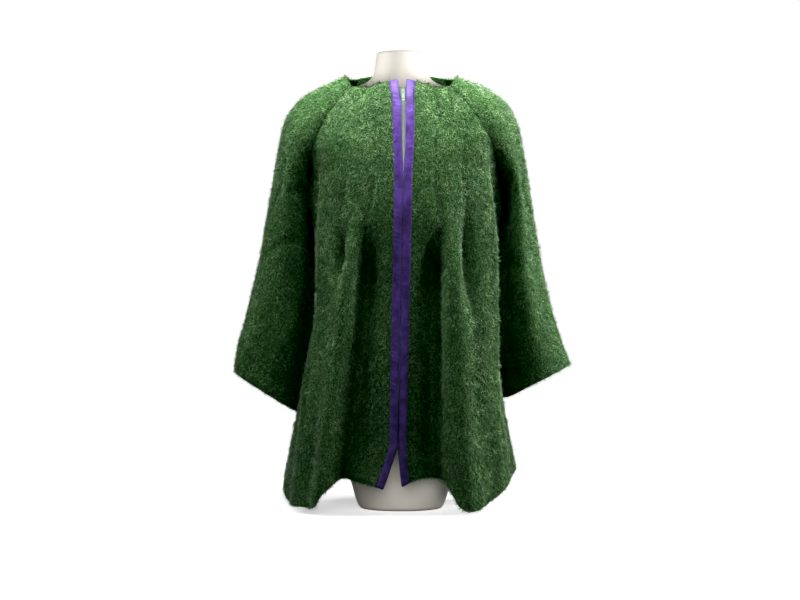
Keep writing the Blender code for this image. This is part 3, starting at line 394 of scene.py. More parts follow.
# Soft creases laid on the panels: where they cross their middle height, how they lean,
# their reach and how far they stand out
Crease = namedtuple("Crease", "name place height lean half_width half_length rise")
FRONT_CREASES = {
    RIGHT: (
        Crease("foot of the inner valley", 0.262, 0.380, 0.00, 0.018, 0.120, -0.0090),
        Crease("ridge beside the outer dip", 0.34, 0.475, -0.10, 0.035, 0.060, 0.0040),
        Crease("split of the outer ridge", 0.70, 0.280, 0.35, 0.035, 0.085, 0.0050),
        Crease("hollow inside the split", 0.63, 0.215, 0.10, 0.030, 0.060, -0.0040),
        Crease("roll at the underarm", 0.91, 0.555, 0.00, 0.055, 0.050, 0.0030),
        Crease("drag from the underarm", 0.76, 0.590, 0.90, 0.030, 0.050, -0.0030),
        Crease("fill beside the armhole", 0.95, 0.630, 0.00, 0.070, 0.060, 0.0080),
        Crease("chest hollow", 0.30, 0.640, -0.15, 0.060, 0.060, -0.0022),
        Crease("soft swell over the bust", 0.52, 0.600, 0.00, 0.100, 0.070, 0.0030),
        Crease("low centre ripple", 0.14, 0.250, 0.05, 0.035, 0.110, 0.0030),
        Crease("hem ripple", 0.52, 0.090, -0.10, 0.045, 0.060, -0.0040),
    ),
    LEFT: (
        Crease("foot of the inner valley", 0.262, 0.320, 0.00, 0.018, 0.170, -0.0100),
        Crease("ridge beside the inner valley", 0.310, 0.330, 0.00, 0.026, 0.160, 0.0070),
        Crease("flat of the cone", 0.55, 0.280, 0.00, 0.070, 0.200, 0.0080),
        Crease("long outer ridge", 0.655, 0.440, -0.03, 0.035, 0.180, 0.0055),
        Crease("roll at the underarm", 0.91, 0.555, 0.00, 0.055, 0.050, 0.0030),
        Crease("drag from the underarm", 0.75, 0.590, 0.90, 0.030, 0.050, -0.0030),
        Crease("chest hollow", 0.30, 0.640, 0.10, 0.060, 0.060, -0.0020),
        Crease("low centre ripple", 0.13, 0.230, 0.00, 0.035, 0.120, 0.0030),
        Crease("hem ripple", 0.56, 0.110, 0.10, 0.050, 0.070, -0.0040),
    ),
}
BACK_CREASES = (
    Crease("drag from the right underarm", 0.09, 0.560, -0.30, 0.030, 0.080, -0.0045),
    Crease("right shoulder blade hollow", 0.30, 0.620, 0.15, 0.040, 0.080, -0.0030),
    Crease("right low ridge", 0.20, 0.230, 0.10, 0.030, 0.130, 0.0045),
    Crease("right low hollow", 0.33, 0.180, 0.05, 0.025, 0.090, -0.0040),
    Crease("centre ridge", 0.46, 0.330, -0.05, 0.030, 0.130, 0.0035),
    Crease("left low hollow", 0.68, 0.200, -0.08, 0.025, 0.100, -0.0040),
    Crease("left low ridge", 0.81, 0.250, -0.10, 0.030, 0.120, 0.0045),
    Crease("left shoulder blade hollow", 0.70, 0.630, -0.10, 0.040, 0.070, -0.0030),
    Crease("drag from the left underarm", 0.91, 0.560, 0.30, 0.030, 0.080, -0.0045),
)

# On a sleeve, place runs round it and height is how far along it the crease has its middle
SLEEVE_CREASES = {
    RIGHT: (
        Crease("fill beside the armhole", 0.08, 0.97, 0.00, 0.080, 0.15, 0.0120),
        Crease("drag over the upper arm", 0.30, 0.95, 0.25, 0.035, 0.16, -0.0040),
        Crease("buckle in the front ridge", 0.27, 1.28, 1.40, 0.050, 0.05, -0.0040),
        Crease("lower front fold", 0.20, 1.65, 0.20, 0.035, 0.22, 0.0045),
        Crease("outer fold", 0.45, 1.50, -0.15, 0.040, 0.25, -0.0035),
        Crease("back ridge", 0.64, 1.40, 0.10, 0.035, 0.30, 0.0050),
        Crease("back drag", 0.80, 1.15, -0.35, 0.035, 0.15, -0.0045),
        Crease("cuff ripple", 0.33, 1.92, 0.30, 0.040, 0.10, -0.0030),
    ),
    LEFT: (
        Crease("drag over the upper arm", 0.32, 1.00, 0.25, 0.035, 0.18, -0.0040),
        Crease("elbow buckle", 0.20, 1.36, 1.20, 0.050, 0.06, -0.0040),
        Crease("lower front fold", 0.18, 1.70, -0.15, 0.035, 0.20, 0.0045),
        Crease("outer fold", 0.47, 1.45, 0.10, 0.040, 0.25, -0.0035),
        Crease("back ridge", 0.63, 1.50, -0.10, 0.035, 0.30, 0.0050),
        Crease("back drag", 0.82, 1.15, 0.35, 0.035, 0.15, -0.0045),
        Crease("cuff bump", 0.12, 1.96, 0.10, 0.035, 0.06, 0.0040),
    ),
}
RIPPLE = 0.0007
RIPPLE_LENGTH = 0.034


def smooth(at, places, values):
    """Follow a cubic curve through table values without overshoot between the rows."""
    places = np.asarray(places, float)
    values = np.asarray(values, float)
    if places[0] > places[-1]:
        places = places[::-1]
        values = values[::-1]
    step = np.diff(places)
    rate = np.diff(values) / step
    slope = np.zeros_like(values)
    slope[0] = rate[0]
    slope[-1] = rate[-1]
    before = rate[:-1]
    after = rate[1:]
    same = before * after > 0
    slope[1:-1][same] = 2 * before[same] * after[same] / (before + after)[same]
    at = np.clip(np.asarray(at, float), places[0], places[-1])
    cell = np.clip(np.searchsorted(places, at, side="right") - 1, 0, len(step) - 1)
    width = step[cell]
    t = (at - places[cell]) / width
    start = values[cell] * (1 + 2 * t) * (1 - t) ** 2 + slope[cell] * width * t * (1 - t) ** 2
    end = values[cell + 1] * t * t * (3 - 2 * t) - slope[cell + 1] * width * t * t * (1 - t)
    return start + end


def unit(vectors):
    """Directions of unit length from rows of vectors."""
    return vectors / np.maximum(np.linalg.norm(vectors, axis=-1), 1e-12)[..., None]


def run_length(line):
    """How far along a line of points each point lies."""
    return np.concatenate([[0], np.cumsum(np.linalg.norm(np.diff(line, axis=0), axis=1))])


def along_line(places, run, values):
    """Values of points on a line, taken at places along its run."""
    return np.stack([np.interp(places, run, values[:, axis]) for axis in range(3)], axis=1)


def column(table, name):
    """One named column of a table."""
    return [getattr(row, name) for row in table]


def look_up(table, key, name, at):
    """Smooth value of one column of a table at places given in another."""
    return smooth(at, column(table, key), column(table, name))


def ease(t):
    """Rise from 0 to 1 with level ends."""
    t = np.clip(t, 0.0, 1.0)
    return t * t * (3 - 2 * t)


def bump(distance):
    """Soft hump of height 1 at 0 that is gone at about 2."""
    return np.exp(-distance * distance)


def fold_rise(fold, height):
    """How far a fold stands out at each height."""
    growing = ease((fold.start - height) / (fold.start - fold.full))
    leaving = ease((fold.full - height) / (fold.full - fold.end))
    return growing * (fold.rise + (fold.hem_rise - fold.rise) * leaving)


def fold_profile(fold, place):
    """Section of a fold, which can be steeper on the side away from the centre front."""
    offset = place - fold.place
    half_width = fold.half_width * np.where(offset > 0, fold.steep, 1.0)
    return bump(offset / half_width)


PLAN_SAMPLES = 160


def plan(share, height):
    """Points on the plan of the body: share 0 is centre front, 1 the side and 2 centre back."""
    half_width = look_up(BODY, "height", "half_width", height)[:, None]
    front = look_up(BODY, "height", "front", height)[:, None]
    back = look_up(BODY, "height", "back", height)[:, None]
    power = 2 / look_up(BODY, "height", "squareness", height)[:, None]
    angle = np.linspace(0, math.pi / 2, PLAN_SAMPLES)[None, :]
    sine = np.sin(angle) ** power
    cosine = np.clip(np.cos(angle), 0, 1) ** power
    in_front = share <= 1.0
    depth = np.where(in_front[:, None], front, back)
    x = half_width * sine
    y = depth * cosine
    length = np.hypot(np.diff(x, axis=1), np.diff(y, axis=1))
    run = np.concatenate([np.zeros((len(share), 1)), np.cumsum(length, axis=1)], axis=1)
    arc = run[:, -1]
    wanted = np.where(in_front, share, 2.0 - share) * arc
    place = np.zeros((len(share), 2))
    for row in range(len(share)):
        place[row, 0] = np.interp(wanted[row], run[row], x[row])
        place[row, 1] = np.interp(wanted[row], run[row], y[row])
    place[:, 1] *= np.where(in_front, -1.0, 1.0)
    return place, arc


def plan_outward(share, height):
    """Outward direction of the body's plan at each share and height."""
    step = 0.01
    low = np.clip(share - step, 0.0, 2.0)
    high = np.clip(share + step, 0.0, 2.0)
    along = unit(plan(high, height)[0] - plan(low, height)[0])
    return np.stack([along[:, 1], -along[:, 0]], axis=1)


def spread(side, height):
    """How much farther out a side of the jacket hangs at each height."""
    wider = look_up(LEFT_SPREAD, "height", "wider", height)
    return wider if side == LEFT else np.zeros_like(wider)


def front_share(side, place, height):
    """Share of the front's width where a column runs at each height."""
    arc = plan(np.zeros_like(height), height)[1]
    binding = BINDING_WIDTH / arc
    heights = (CHEST_HEIGHT, RELEASE_HEIGHT, HEM_HEIGHT)
    lines = [smooth(height, heights, line) for line in FRONT_LINES[side]]
    marks = (0.0, BINDING_SHARE, *(line.release for line in FRONT_LINES[side]), 1.0)
    share = np.zeros_like(place)
    for row in range(len(place)):
        stops = (0.0, binding[row], *(line[row] for line in lines), 1.0)
        share[row] = smooth(place[row], marks, stops)
    return share


def front_surface(side, place, height):
    """Outside of a front at column places and heights."""
    share = front_share(side, place, height)
    point = plan(share, height)[0]
    outward = plan_outward(share, height)
    rise = np.zeros_like(place)
    beyond_binding = np.maximum(place, BINDING_SHARE)
    for fold in FRONT_FOLDS[side]:
        rise += fold_rise(fold, height) * fold_profile(fold, beyond_binding)
    for line in FRONT_LINES[side]:
        stitched = ease((TUCK_TOP + TUCK_START / 2 - height) / TUCK_START)
        stitched = stitched * ease((height - RELEASE_HEIGHT) / TUCK_END)
        rise -= TUCK_DEPTH * stitched * bump((place - line.release) / TUCK_HALF_WIDTH)
    point += outward * rise[:, None]
    point[:, 0] += spread(side, height) * ease(share / SPREAD_REACH)
    edge = look_up(EDGES, "height", SIDE_NAMES[side], height) * side + BINDING_REACH
    point[:, 0] += edge * (1 - ease(share / EDGE_REACH))
    return np.stack([side * point[:, 0], point[:, 1], height], axis=1)


def back_surface(place, height):
    """Outside of the back at column places and heights."""
    share = 2.0 - np.abs(place - 0.5) * 2.0
    side = np.where(place < 0.5, RIGHT, LEFT)
    point = plan(share, height)[0]
    outward = plan_outward(share, height)
    rise = np.zeros_like(place)
    for fold in BACK_FOLDS:
        rise += fold_rise(fold, height) * fold_profile(fold, place)
    point += outward * rise[:, None]
    wider = np.where(side == LEFT, spread(LEFT, height), spread(RIGHT, height))
    point[:, 0] += wider * ease((2.0 - share) / SPREAD_REACH)
    return np.stack([side * point[:, 0], point[:, 1], height], axis=1)


def table_points(table, along):
    """Points of a seam or outline table at places along it."""
    return np.stack([look_up(table, "along", axis, along) for axis in "xyz"], axis=1)


def sleeve_seam(side, along, behind):
    """Edge of a sleeve: its raglan seam down to the underarm, then the underarm seam."""
    raglan = table_points(BACK_SEAM if behind else FRONT_SEAM, np.clip(along, 0, 1))
    under = table_points(UNDERARM_SEAM[side], np.clip(along, 1, 2))
    seam = np.where((along <= 1.0)[:, None], raglan, under)
    seam[:, 0] += spread(side, seam[:, 2])
    return seam


def sleeve_half(side, along, turn, behind):
    """Half a sleeve section, from its seam (turn 0) to its outer line (turn 1)."""
    seam = sleeve_seam(side, along, behind)
    outer = table_points(SLEEVE_OUTER[side], along)
    depth = look_up(SLEEVE_DEPTHS, "along", "back" if behind else "front", along)
    depth = depth if behind else -depth
    opening = np.radians(look_up(SLEEVE_DEPTHS, "along", "opening", along))
    lift = np.zeros_like(seam)
    lift[:, 1] = -depth * np.sin(opening)
    centre = (seam + outer * np.cos(opening)[:, None] + lift) / (1 + np.cos(opening))[:, None]
    angle = opening + (math.pi - opening) * turn
    point = centre - (outer - centre) * np.cos(angle)[:, None]
    point[:, 1] += depth * np.sin(angle)
    return point


def sleeve_surface(side, along, around):
    """Outside of a sleeve; around runs from the front seam (0) over the outer line to the back (1)."""
    front = sleeve_half(side, along, np.clip(around * 2, 0, 1), False)
    back = sleeve_half(side, along, np.clip(2 - around * 2, 0, 1), True)
    point = np.where((around <= 0.5)[:, None], front, back)
    rise = np.zeros_like(around)
    for fold in SLEEVE_FOLDS[side]:
        growing = ease((along - fold.start) / (fold.full - fold.start))
        leaving = 1 - ease((along - fold.full) / (fold.end - fold.full))
        rise += fold.rise * growing * leaving * bump((around - fold.place) / fold.half_width)
    middle = (table_points(SLEEVE_OUTER[side], along) + sleeve_seam(side, along, False)) / 2
    outward = point - middle
    outward[:, 2] = 0
    outward /= np.maximum(np.linalg.norm(outward, axis=1), 1e-6)[:, None]
    point = point + outward * rise[:, None]
    point[:, 0] *= side
    return point


def crease_rise(table, place, height):
    """Sum of the listed creases at places and heights."""
    rise = np.zeros_like(place)
    for crease in table:
        line = crease.place + crease.lean * (height - crease.height)
        across = (place - line) / crease.half_width
        along = (height - crease.height) / crease.half_length
        rise += crease.rise * bump(across) * bump(along)
    return rise


def ripple(grid, seed):
    """Gentle uneven surface of limp cloth."""
    flat = grid.reshape(-1, 3) / RIPPLE_LENGTH
    offset = Vector((seed * 7.3, seed * 3.1, seed * 5.7))
    values = [noise.noise(Vector(point) + offset) for point in flat]
    return RIPPLE * np.array(values).reshape(grid.shape[:2])


def front_places():
    """Column places of a front from its edge to the side seam."""
    bound = np.linspace(0, BINDING_SHARE, BOUND_CELLS + 1)[:-1]
    neck = np.linspace(BINDING_SHARE, NECK_SHARE, NECK_CELLS + 1)[:-1]
    raglan = np.linspace(NECK_SHARE, 1.0, RAGLAN_CELLS + 1)
    return np.concatenate([bound, neck, raglan])


def front_top(side, places):
    """Top edge of a front: its neckline, then the raglan seam."""
    top = np.zeros((len(places), 3))
    on_neck = places < NECK_SHARE - 1e-9
    share = places[on_neck] / NECK_SHARE
    height = look_up(FRONT_NECK, "share", "height", share)
    edge = look_up(EDGES, "height", SIDE_NAMES[side], height[:1])[0] * side + BINDING_REACH
    seam_start = FRONT_SEAM[0].x
    bound = BINDING_WIDTH * np.minimum(places[on_neck] / BINDING_SHARE, 1.0)
    beyond = np.clip((places[on_neck] - BINDING_SHARE) / (NECK_SHARE - BINDING_SHARE), 0, 1)
    top[on_neck, 0] = edge + bound + (seam_start - edge - BINDING_WIDTH) * beyond
    top[on_neck, 1] = -look_up(FRONT_NECK, "share", "out", share)
    top[on_neck, 2] = height
    steps = (places[~on_neck] - NECK_SHARE) / (1 - NECK_SHARE)
    top[~on_neck] = sleeve_seam(side, steps, False)
    top[:, 0] *= side
    return top


def hang(surface, places, top, hem, rows):
    """Grid of a panel whose columns hang from its top edge to its hem."""
    count = len(places)
    drop = np.linspace(0, 1, rows + 1)
    heights = top[None, :, 2] + (hem - top[:, 2])[None, :] * drop[:, None]
    columns = np.broadcast_to(places, heights.shape)
    grid = surface(columns.ravel().copy(), heights.ravel()).reshape(rows + 1, count, 3)
    shift = top - grid[0]
    fade = 1 - ease((top[None, :, 2] - heights) / EDGE_BLEND)
    grid = grid + shift[None] * fade[:, :, None]
    grid[:, :, 2] = heights
    return grid, columns, heights


def seam_fade(distance):
    """0 on a seam and 1 well away from it."""
    return ease(distance / SEAM_FADE)


def front_form(side):
    """Outside of a front, with its creases."""
    places = front_places()
    hem = look_up(FRONT_HEMS[side], "place", "height", places) + EDGE_NAP
    top = front_top(side, places)
    grid, columns, heights = hang(lambda place, height: front_surface(side, place, height),
                                  places, top, hem, FRONT_ROWS)
    free = seam_fade(top[None, :, 2] - heights) * ease((columns - BINDING_SHARE) / BINDING_FADE)
    free = free * ease((1 - columns) / FRONT_SIDE_FADE)
    rise = crease_rise(FRONT_CREASES[side], columns, heights) + ripple(grid, 1 + side)
    return grid, rise * free


def back_form():
    """Outside of the back from the right side seam to the left, with its creases."""
    arm = (1 - NECK_SHARE) / 2
    steps = np.linspace(0, 1, BACK_RAGLAN_CELLS + 1)
    neck = np.linspace(0, 1, BACK_NECK_CELLS + 1)[1:-1]
    places = np.concatenate([arm * steps, arm + NECK_SHARE * neck, 1 - arm + arm * steps])
    top_right = sleeve_seam(RIGHT, steps[::-1], True) * (RIGHT, 1, 1)
    top_left = sleeve_seam(LEFT, steps, True) * (LEFT, 1, 1)
    middle = np.zeros((len(neck), 3))
    middle[:, 0] = BACK_SEAM[0].x * (2 * neck - 1)
    middle[:, 1] = look_up(BACK_NECK, "share", "out", neck)
    middle[:, 2] = look_up(BACK_NECK, "share", "height", neck)
    top = np.concatenate([top_right, middle, top_left])
    hem = look_up(BACK_HEMS, "place", "height", places) + EDGE_NAP
    grid, columns, heights = hang(back_surface, places, top, hem, BACK_ROWS)
    free = seam_fade(top[None, :, 2] - heights)
    free = free * ease(columns / BACK_SIDE_FADE) * ease((1 - columns) / BACK_SIDE_FADE)
    rise = crease_rise(BACK_CREASES, columns, heights) + ripple(grid, 5)
    return grid, rise * free


def sleeve_form(side):
    """Outside of a sleeve from neckline to cuff, with its creases."""
    upper = np.linspace(0, 1, SLEEVE_RAGLAN_ROWS + 1)
    cuff = 2 - EDGE_NAP / LOWER_SLEEVE
    lower = np.linspace(1, cuff, SLEEVE_ROWS + 1)[1:]
    along = np.concatenate([upper, lower])
    around = np.linspace(0, 1, SLEEVE_CELLS + 1)
    rows = np.repeat(along, len(around))
    turns = np.tile(around, len(along))
    shape = (len(along), len(around))
    grid = sleeve_surface(side, rows, turns).reshape(*shape, 3)
    free = ease(turns / SLEEVE_SEAM_FADE) * ease((1 - turns) / SLEEVE_SEAM_FADE)
    free = free * ease(rows / SLEEVE_NECK_FADE)
    rise = crease_rise(SLEEVE_CREASES[side], turns, rows) * free
    return grid, rise.reshape(shape) + ripple(grid, 8 + side) * free.reshape(shape)


def grid_normals(grid):
    """Directions square to a grid."""
    return unit(np.cross(np.gradient(grid, axis=0), np.gradient(grid, axis=1)))


def smooth_normals(normals, passes):
    """Even out wall directions so that tight bends keep an open inside."""
    for _ in range(passes):
        padded = np.pad(normals, ((1, 1), (1, 1), (0, 0)), mode="edge")
        normals = unit(padded[:-2, 1:-1] + padded[2:, 1:-1] + padded[1:-1, :-2] + padded[1:-1, 2:]
                       + 2 * normals)
    return normals


def edge_distance(grid, columns):
    """How far each point lies from the first or last column, measured along its row."""
    step = np.linalg.norm(np.diff(grid, axis=1), axis=2)
    run = np.concatenate([np.zeros((len(grid), 1)), np.cumsum(step, axis=1)], axis=1)
    return run if columns == "first" else run[:, -1:] - run


def row_distance(grid, end):
    """How far each point lies from the first or last row, measured down its column."""
    step = np.linalg.norm(np.diff(grid, axis=0), axis=2)
    run = np.concatenate([np.zeros((1, grid.shape[1])), np.cumsum(step, axis=0)], axis=0)
    return run if end == "first" else run[-1:] - run


Panel = namedtuple("Panel", "outside normal ground inside")
SHAPED = {}


def shape_panel(name):
    """Outside of a panel's solid, its directions, and the two faces of its cloth."""
    if name in SHAPED:
        return SHAPED[name]
    side = RIGHT if name.endswith("right") else LEFT
    if name == "back":
        grid, rise = back_form()
    elif name.startswith("front"):
        grid, rise = front_form(side)
    else:
        grid, rise = sleeve_form(side)
    normal = grid_normals(grid)
    if name.startswith("sleeve"):
        outward = grid - grid.mean(axis=1, keepdims=True)
    else:
        outward = grid * (1, 1, 0)
    normal *= np.sign(np.sum(normal * outward))
    normal = smooth_normals(normal, WALL_PASSES)
    depth = np.full(grid.shape[:2], GROUND_DEPTH)
    hem = row_distance(grid, "last")
    turned = ease((HEM_TURN - hem) / HEM_STEP)
    seams = np.minimum(edge_distance(grid, "first"), edge_distance(grid, "last"))
    if name.startswith("front"):
        bound = np.broadcast_to(front_places(), depth.shape)
        depth += (BOUND_DEPTH - depth) * ease((BOUND_END - bound) / BOUND_FADE)
        turned = turned * ease((bound - BINDING_SHARE) / BOUND_HEM_FADE)
        seams = edge_distance(grid, "last")
    depth -= HEM_SWELL * turned
    depth -= SIDE_FILL * ease((SIDE_REACH - seams) / (0.5 * SIDE_REACH))
    depth += SEAM_SINK * bump(seams / SEAM_REACH)
    depth += 0.5 * SEAM_SINK * bump((hem - HEM_TURN) / SEAM_REACH)
    ground = grid + normal * (rise - depth)[:, :, None]
    inside = grid + normal * (rise - WALL - 0.6 * HEM_SWELL * turned)[:, :, None]
    SHAPED[name] = Panel(grid, normal, ground, inside)
    return SHAPED[name]


def match_side_seams():
    """Lay the back's side edges on the fronts' side edges, easing the move into the back."""
    back = shape_panel("back")
    width = back.outside.shape[1]
    reach = 10
    for name, edge, order in (("front_right", 0, 1), ("front_left", width - 1, -1)):
        front = shape_panel(name)
        for own, other in ((back.ground, front.ground), (back.inside, front.inside)):
            move = other[:, -1] - own[:, edge]
            for step in range(reach):
                own[:, edge + order * step] += move * (1 - ease(step / reach))


def new_object(name, points, faces, material):
    """Object with one material from arrays of points and faces with equal counts of corners."""
    mesh = bpy.data.meshes.new(name)
    faces = np.asarray(faces, dtype=np.int32)
    count, corners = faces.shape
    mesh.vertices.add(len(points))
    mesh.vertices.foreach_set("co", np.asarray(points, dtype=np.float32).ravel())
    mesh.loops.add(count * corners)
    mesh.loops.foreach_set("vertex_index", faces.ravel())
    mesh.polygons.add(count)
    mesh.polygons.foreach_set("loop_start", np.arange(0, count * corners, corners, dtype=np.int32))
    mesh.polygons.foreach_set("use_smooth", np.full(count, True))
    mesh.update(calc_edges=True)
    mesh.validate()
    piece = bpy.data.objects.new(name, mesh)
    bpy.context.scene.collection.objects.link(piece)
    mesh.materials.append(material)
    return piece


def turn_outward(piece):
    """Point the faces of a closed piece outwards."""
    shell = bmesh.new()
    shell.from_mesh(piece.data)
    if shell.calc_volume(signed=True) < 0:
        bmesh.ops.reverse_faces(shell, faces=shell.faces)
        shell.to_mesh(piece.data)
    shell.free()
    return piece


def ring_faces(rows, count):
    """Quads between closed rings of points."""
    index = np.arange(rows * count).reshape(rows, count)
    following = np.roll(index, -1, axis=1)
    faces = np.stack([index[:-1], following[:-1], following[1:], index[1:]], axis=2)
    return faces.reshape(-1, 4)


def cloth_shell(name, panel, material):
    """Closed shell between the two faces of a panel's cloth, with rounded edges."""
    rows, columns = panel.ground.shape[:2]
    middle = (panel.ground + panel.inside) / 2
    index = np.arange(rows * columns).reshape(rows, columns)
    faces = np.stack([index[:-1, :-1], index[1:, :-1], index[1:, 1:], index[:-1, 1:]], axis=2)
    faces = faces.reshape(-1, 4)
    count = rows * columns
    rim = np.concatenate([index[0, :], index[1:, -1], index[-1, -2::-1], index[-2:0:-1, 0]])
    inner = np.concatenate([index[1, :], index[1:, -2], index[-2, -2::-1], index[-2:0:-1, 1]])
    flat = middle.reshape(-1, 3)
    rolled = flat[rim] + unit(flat[rim] - flat[inner]) * ROLL
    points = np.concatenate([panel.ground.reshape(-1, 3), panel.inside.reshape(-1, 3), rolled])
    edge = 2 * count + np.arange(len(rim))
    after = np.roll(edge, -1)
    rim_after = np.roll(rim, -1)
    near = np.stack([rim, rim_after, after, edge], axis=1)
    far = np.stack([edge, after, count + rim_after, count + rim], axis=1)
    faces = np.concatenate([faces, count + faces[:, ::-1], near, far])
    return turn_outward(new_object(name, points, faces, material))


def strip_shell(name, rings, material):
    """Closed strip from rings of points, with flat ends."""
    rows, count = rings.shape[:2]
    faces = ring_faces(rows, count)
    half = count // 2
    ends = []
    for row in (0, rows - 1):
        start = row * count
        ends += [(start + k, start + k + 1, start + count - 2 - k, start + count - 1 - k)
                 for k in range(half - 1)]
    ends = np.array(ends)
    ends[: half - 1] = ends[: half - 1, ::-1]
    faces = np.concatenate([faces, ends])
    return turn_outward(new_object(name, rings.reshape(-1, 3), faces, material))


def pass_on(piece, body, slot, *nodes):
    """Tie a piece to its body and hide the solids that it stands for; the finish given as slot is not used.
    """
    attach(piece, body)
    if nodes:
        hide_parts(*nodes)
    return piece


def scatter(grid, normal, count, rng, weight):
    """Roots spread evenly over a grid, each with its outward, down and sideways directions."""
    first = grid[1:, 1:] - grid[:-1, :-1]
    second = grid[1:, :-1] - grid[:-1, 1:]
    area = np.linalg.norm(np.cross(first, second), axis=2) * weight
    run = np.cumsum(area.ravel())
    places = (np.arange(count) + rng.random(count)) / count
    pick = np.minimum(np.searchsorted(run / run[-1], places), area.size - 1)
    row, column_index = np.divmod(pick, area.shape[1])
    u = rng.random(count)[:, None]
    v = rng.random(count)[:, None]

    def mix(values):
        upper = values[row, column_index] * (1 - v) + values[row, column_index + 1] * v
        lower = values[row + 1, column_index] * (1 - v) + values[row + 1, column_index + 1] * v
        return upper * (1 - u) + lower * u

    root = mix(grid)
    outward = unit(mix(normal))
    down = mix(np.gradient(grid, axis=0))
    down = unit(down - outward * np.sum(down * outward, axis=1)[:, None])
    return root, outward, down, np.cross(outward, down)


# Nap: the noise that turns, tints and raises its locks, and how they differ from one another
NOISE_TURN = np.array(Euler((0.6, 0.4, 0.9)).to_matrix())
CURL_START = (0, 0, 0)
TINT_START = (9, 4, 2)
TUFT_START = (3, 8, 5)
TINT_FINENESS = 0.37
TUFT_FINENESS = 0.8
LENGTH_RANGE = (0.6, 1.25)
WIDTH_RANGE = (0.6, 1.3)
LIFT_RANGE = (0.35, 1.0)
TUFT_RANGE = (0.3, 2.2)
STRAY_LENGTH = 1.6
STRAY_WIDTH = 0.50
STRAY_LIFT = 2.0
CURL_TURN = 2.4
CURL_SPREAD = 0.75
BEND_SPREAD = 0.95
ROLL_SPREAD = 0.45
KNEE_LIFT = 0.75
ROOT_SINK = 0.0003
ROOT_WIDTH = 0.8
MIDDLE_TONE = 0.5
TINT_TONE = 0.22
TONE_SPREAD = 0.15

# A lock has two points at its root, two at its knee and one at its tip
LOCK_FACES = np.array(((0, 3, 1), (0, 2, 3), (2, 4, 3)))
# Painted shade: a lock's colour is darkened toward its root, where the nap would shade itself
LOCK_ROOT_SHADE = np.array((0.45, 0.45, 0.85, 0.85, 1.0))
LOCK_POINTS = len(LOCK_ROOT_SHADE)

# How far a lock is shaded by the direction of the cloth under it, in place of its own
NAP_SOFTNESS = 0.65

# Fuzz round open edges: distance between its roots, and how deep they lie
RIM_STEP = 0.0005
RIM_SINK = 0.0010

# Rows of the inside that carry nap at the neck, and the nap left beside a binding
FRONT_NECK_ROWS = 6
BACK_NECK_ROWS = 9
SLEEVE_NECK_ROWS = 4
BINDING_NAP = 0.6


def clump_noise(points, size, start):
    """Smooth noise that changes over a size, on axes that lie askew to the cloth."""
    turned = points @ NOISE_TURN.T / size + np.array(start)
    return np.array([noise.noise(Vector(point)) for point in turned])


def locks(root, outward, down, sideways, settings, rng):
    """Curled tapering ribbons of fibre: their points, triangles, tones with painted shade toward the root,
    and shading directions.
    """
    count = len(root)
    curl_field = clump_noise(root, settings.clump, CURL_START)
    tint_field = clump_noise(root, settings.clump / TINT_FINENESS, TINT_START)
    tuft_field = clump_noise(root, settings.clump / TUFT_FINENESS, TUFT_START)
    stray = rng.random(count) < settings.stray_share
    length = settings.length * rng.uniform(*LENGTH_RANGE, count) * np.where(stray, STRAY_LENGTH, 1.0)
    width = settings.width * rng.uniform(*WIDTH_RANGE, count) * np.where(stray, STRAY_WIDTH, 1.0)
    lift = settings.lift * rng.uniform(*LIFT_RANGE, count) * np.where(stray, STRAY_LIFT, 1.0)
    lift *= np.clip(1 + settings.tufts * tuft_field, *TUFT_RANGE)
    first = CURL_TURN * curl_field + rng.normal(0, CURL_SPREAD, count)
    second = first + rng.normal(0, BEND_SPREAD, count)
    roll = rng.normal(0, ROLL_SPREAD, count)[:, None]

    def run(angle):
        return down * np.cos(angle)[:, None] + sideways * np.sin(angle)[:, None]

    half = (length / 2)[:, None]
    knee = root + run(first) * half + outward * (KNEE_LIFT * lift)[:, None]
    tip = knee + run(second) * half + outward * ((1 - KNEE_LIFT) * lift)[:, None]
    middle = run((first + second) / 2)
    flat = np.cross(outward, middle)
    flat = flat * np.cos(roll) + outward * np.sin(roll)
    flat *= (width / 2)[:, None]
    sunk = root - outward * ROOT_SINK
    points = np.stack([sunk - flat * ROOT_WIDTH, sunk + flat * ROOT_WIDTH, knee - flat, knee + flat, tip],
                      axis=1)
    faces = np.arange(count)[:, None, None] * LOCK_POINTS + LOCK_FACES[None]
    tone = np.clip(MIDDLE_TONE + TINT_TONE * tint_field + rng.normal(0, TONE_SPREAD, count), 0.0, 1.0)
    # Painted shade: each lock's random tone is darkened toward its root
    shade = tone[:, None] * LOCK_ROOT_SHADE[None]
    own = unit(np.cross(middle, flat))
    facing = unit(outward * NAP_SOFTNESS + own * (1 - NAP_SOFTNESS))
    facing = np.repeat(facing, LOCK_POINTS, axis=0)
    return points.reshape(-1, 3), faces.reshape(-1, 3), shade.ravel(), facing


def nap_weights(name, panel):
    """How densely each cell of a panel's outside and inside carries nap."""
    rows, columns = panel.ground.shape[:2]
    outside = np.ones((rows - 1, columns - 1))
    inside = np.zeros((rows - 1, columns - 1))
    hem = row_distance(panel.outside, "last")[:-1, :-1]
    inside[hem < HEM_TURN] = 1.0
    if name.startswith("front"):
        outside[:, :BOUND_CELLS] = 0.0
        outside[:, BOUND_CELLS] = BINDING_NAP
        inside[:, :BOUND_CELLS] = 0.0
        inside[:FRONT_NECK_ROWS, BOUND_CELLS:NECK_CELLS] = 1.0
    if name == "back":
        inside[:BACK_NECK_ROWS, BACK_RAGLAN_CELLS:-BACK_RAGLAN_CELLS] = 1.0
    if name.startswith("sleeve"):
        inside[:SLEEVE_NECK_ROWS, :] = 1.0
    return outside, inside


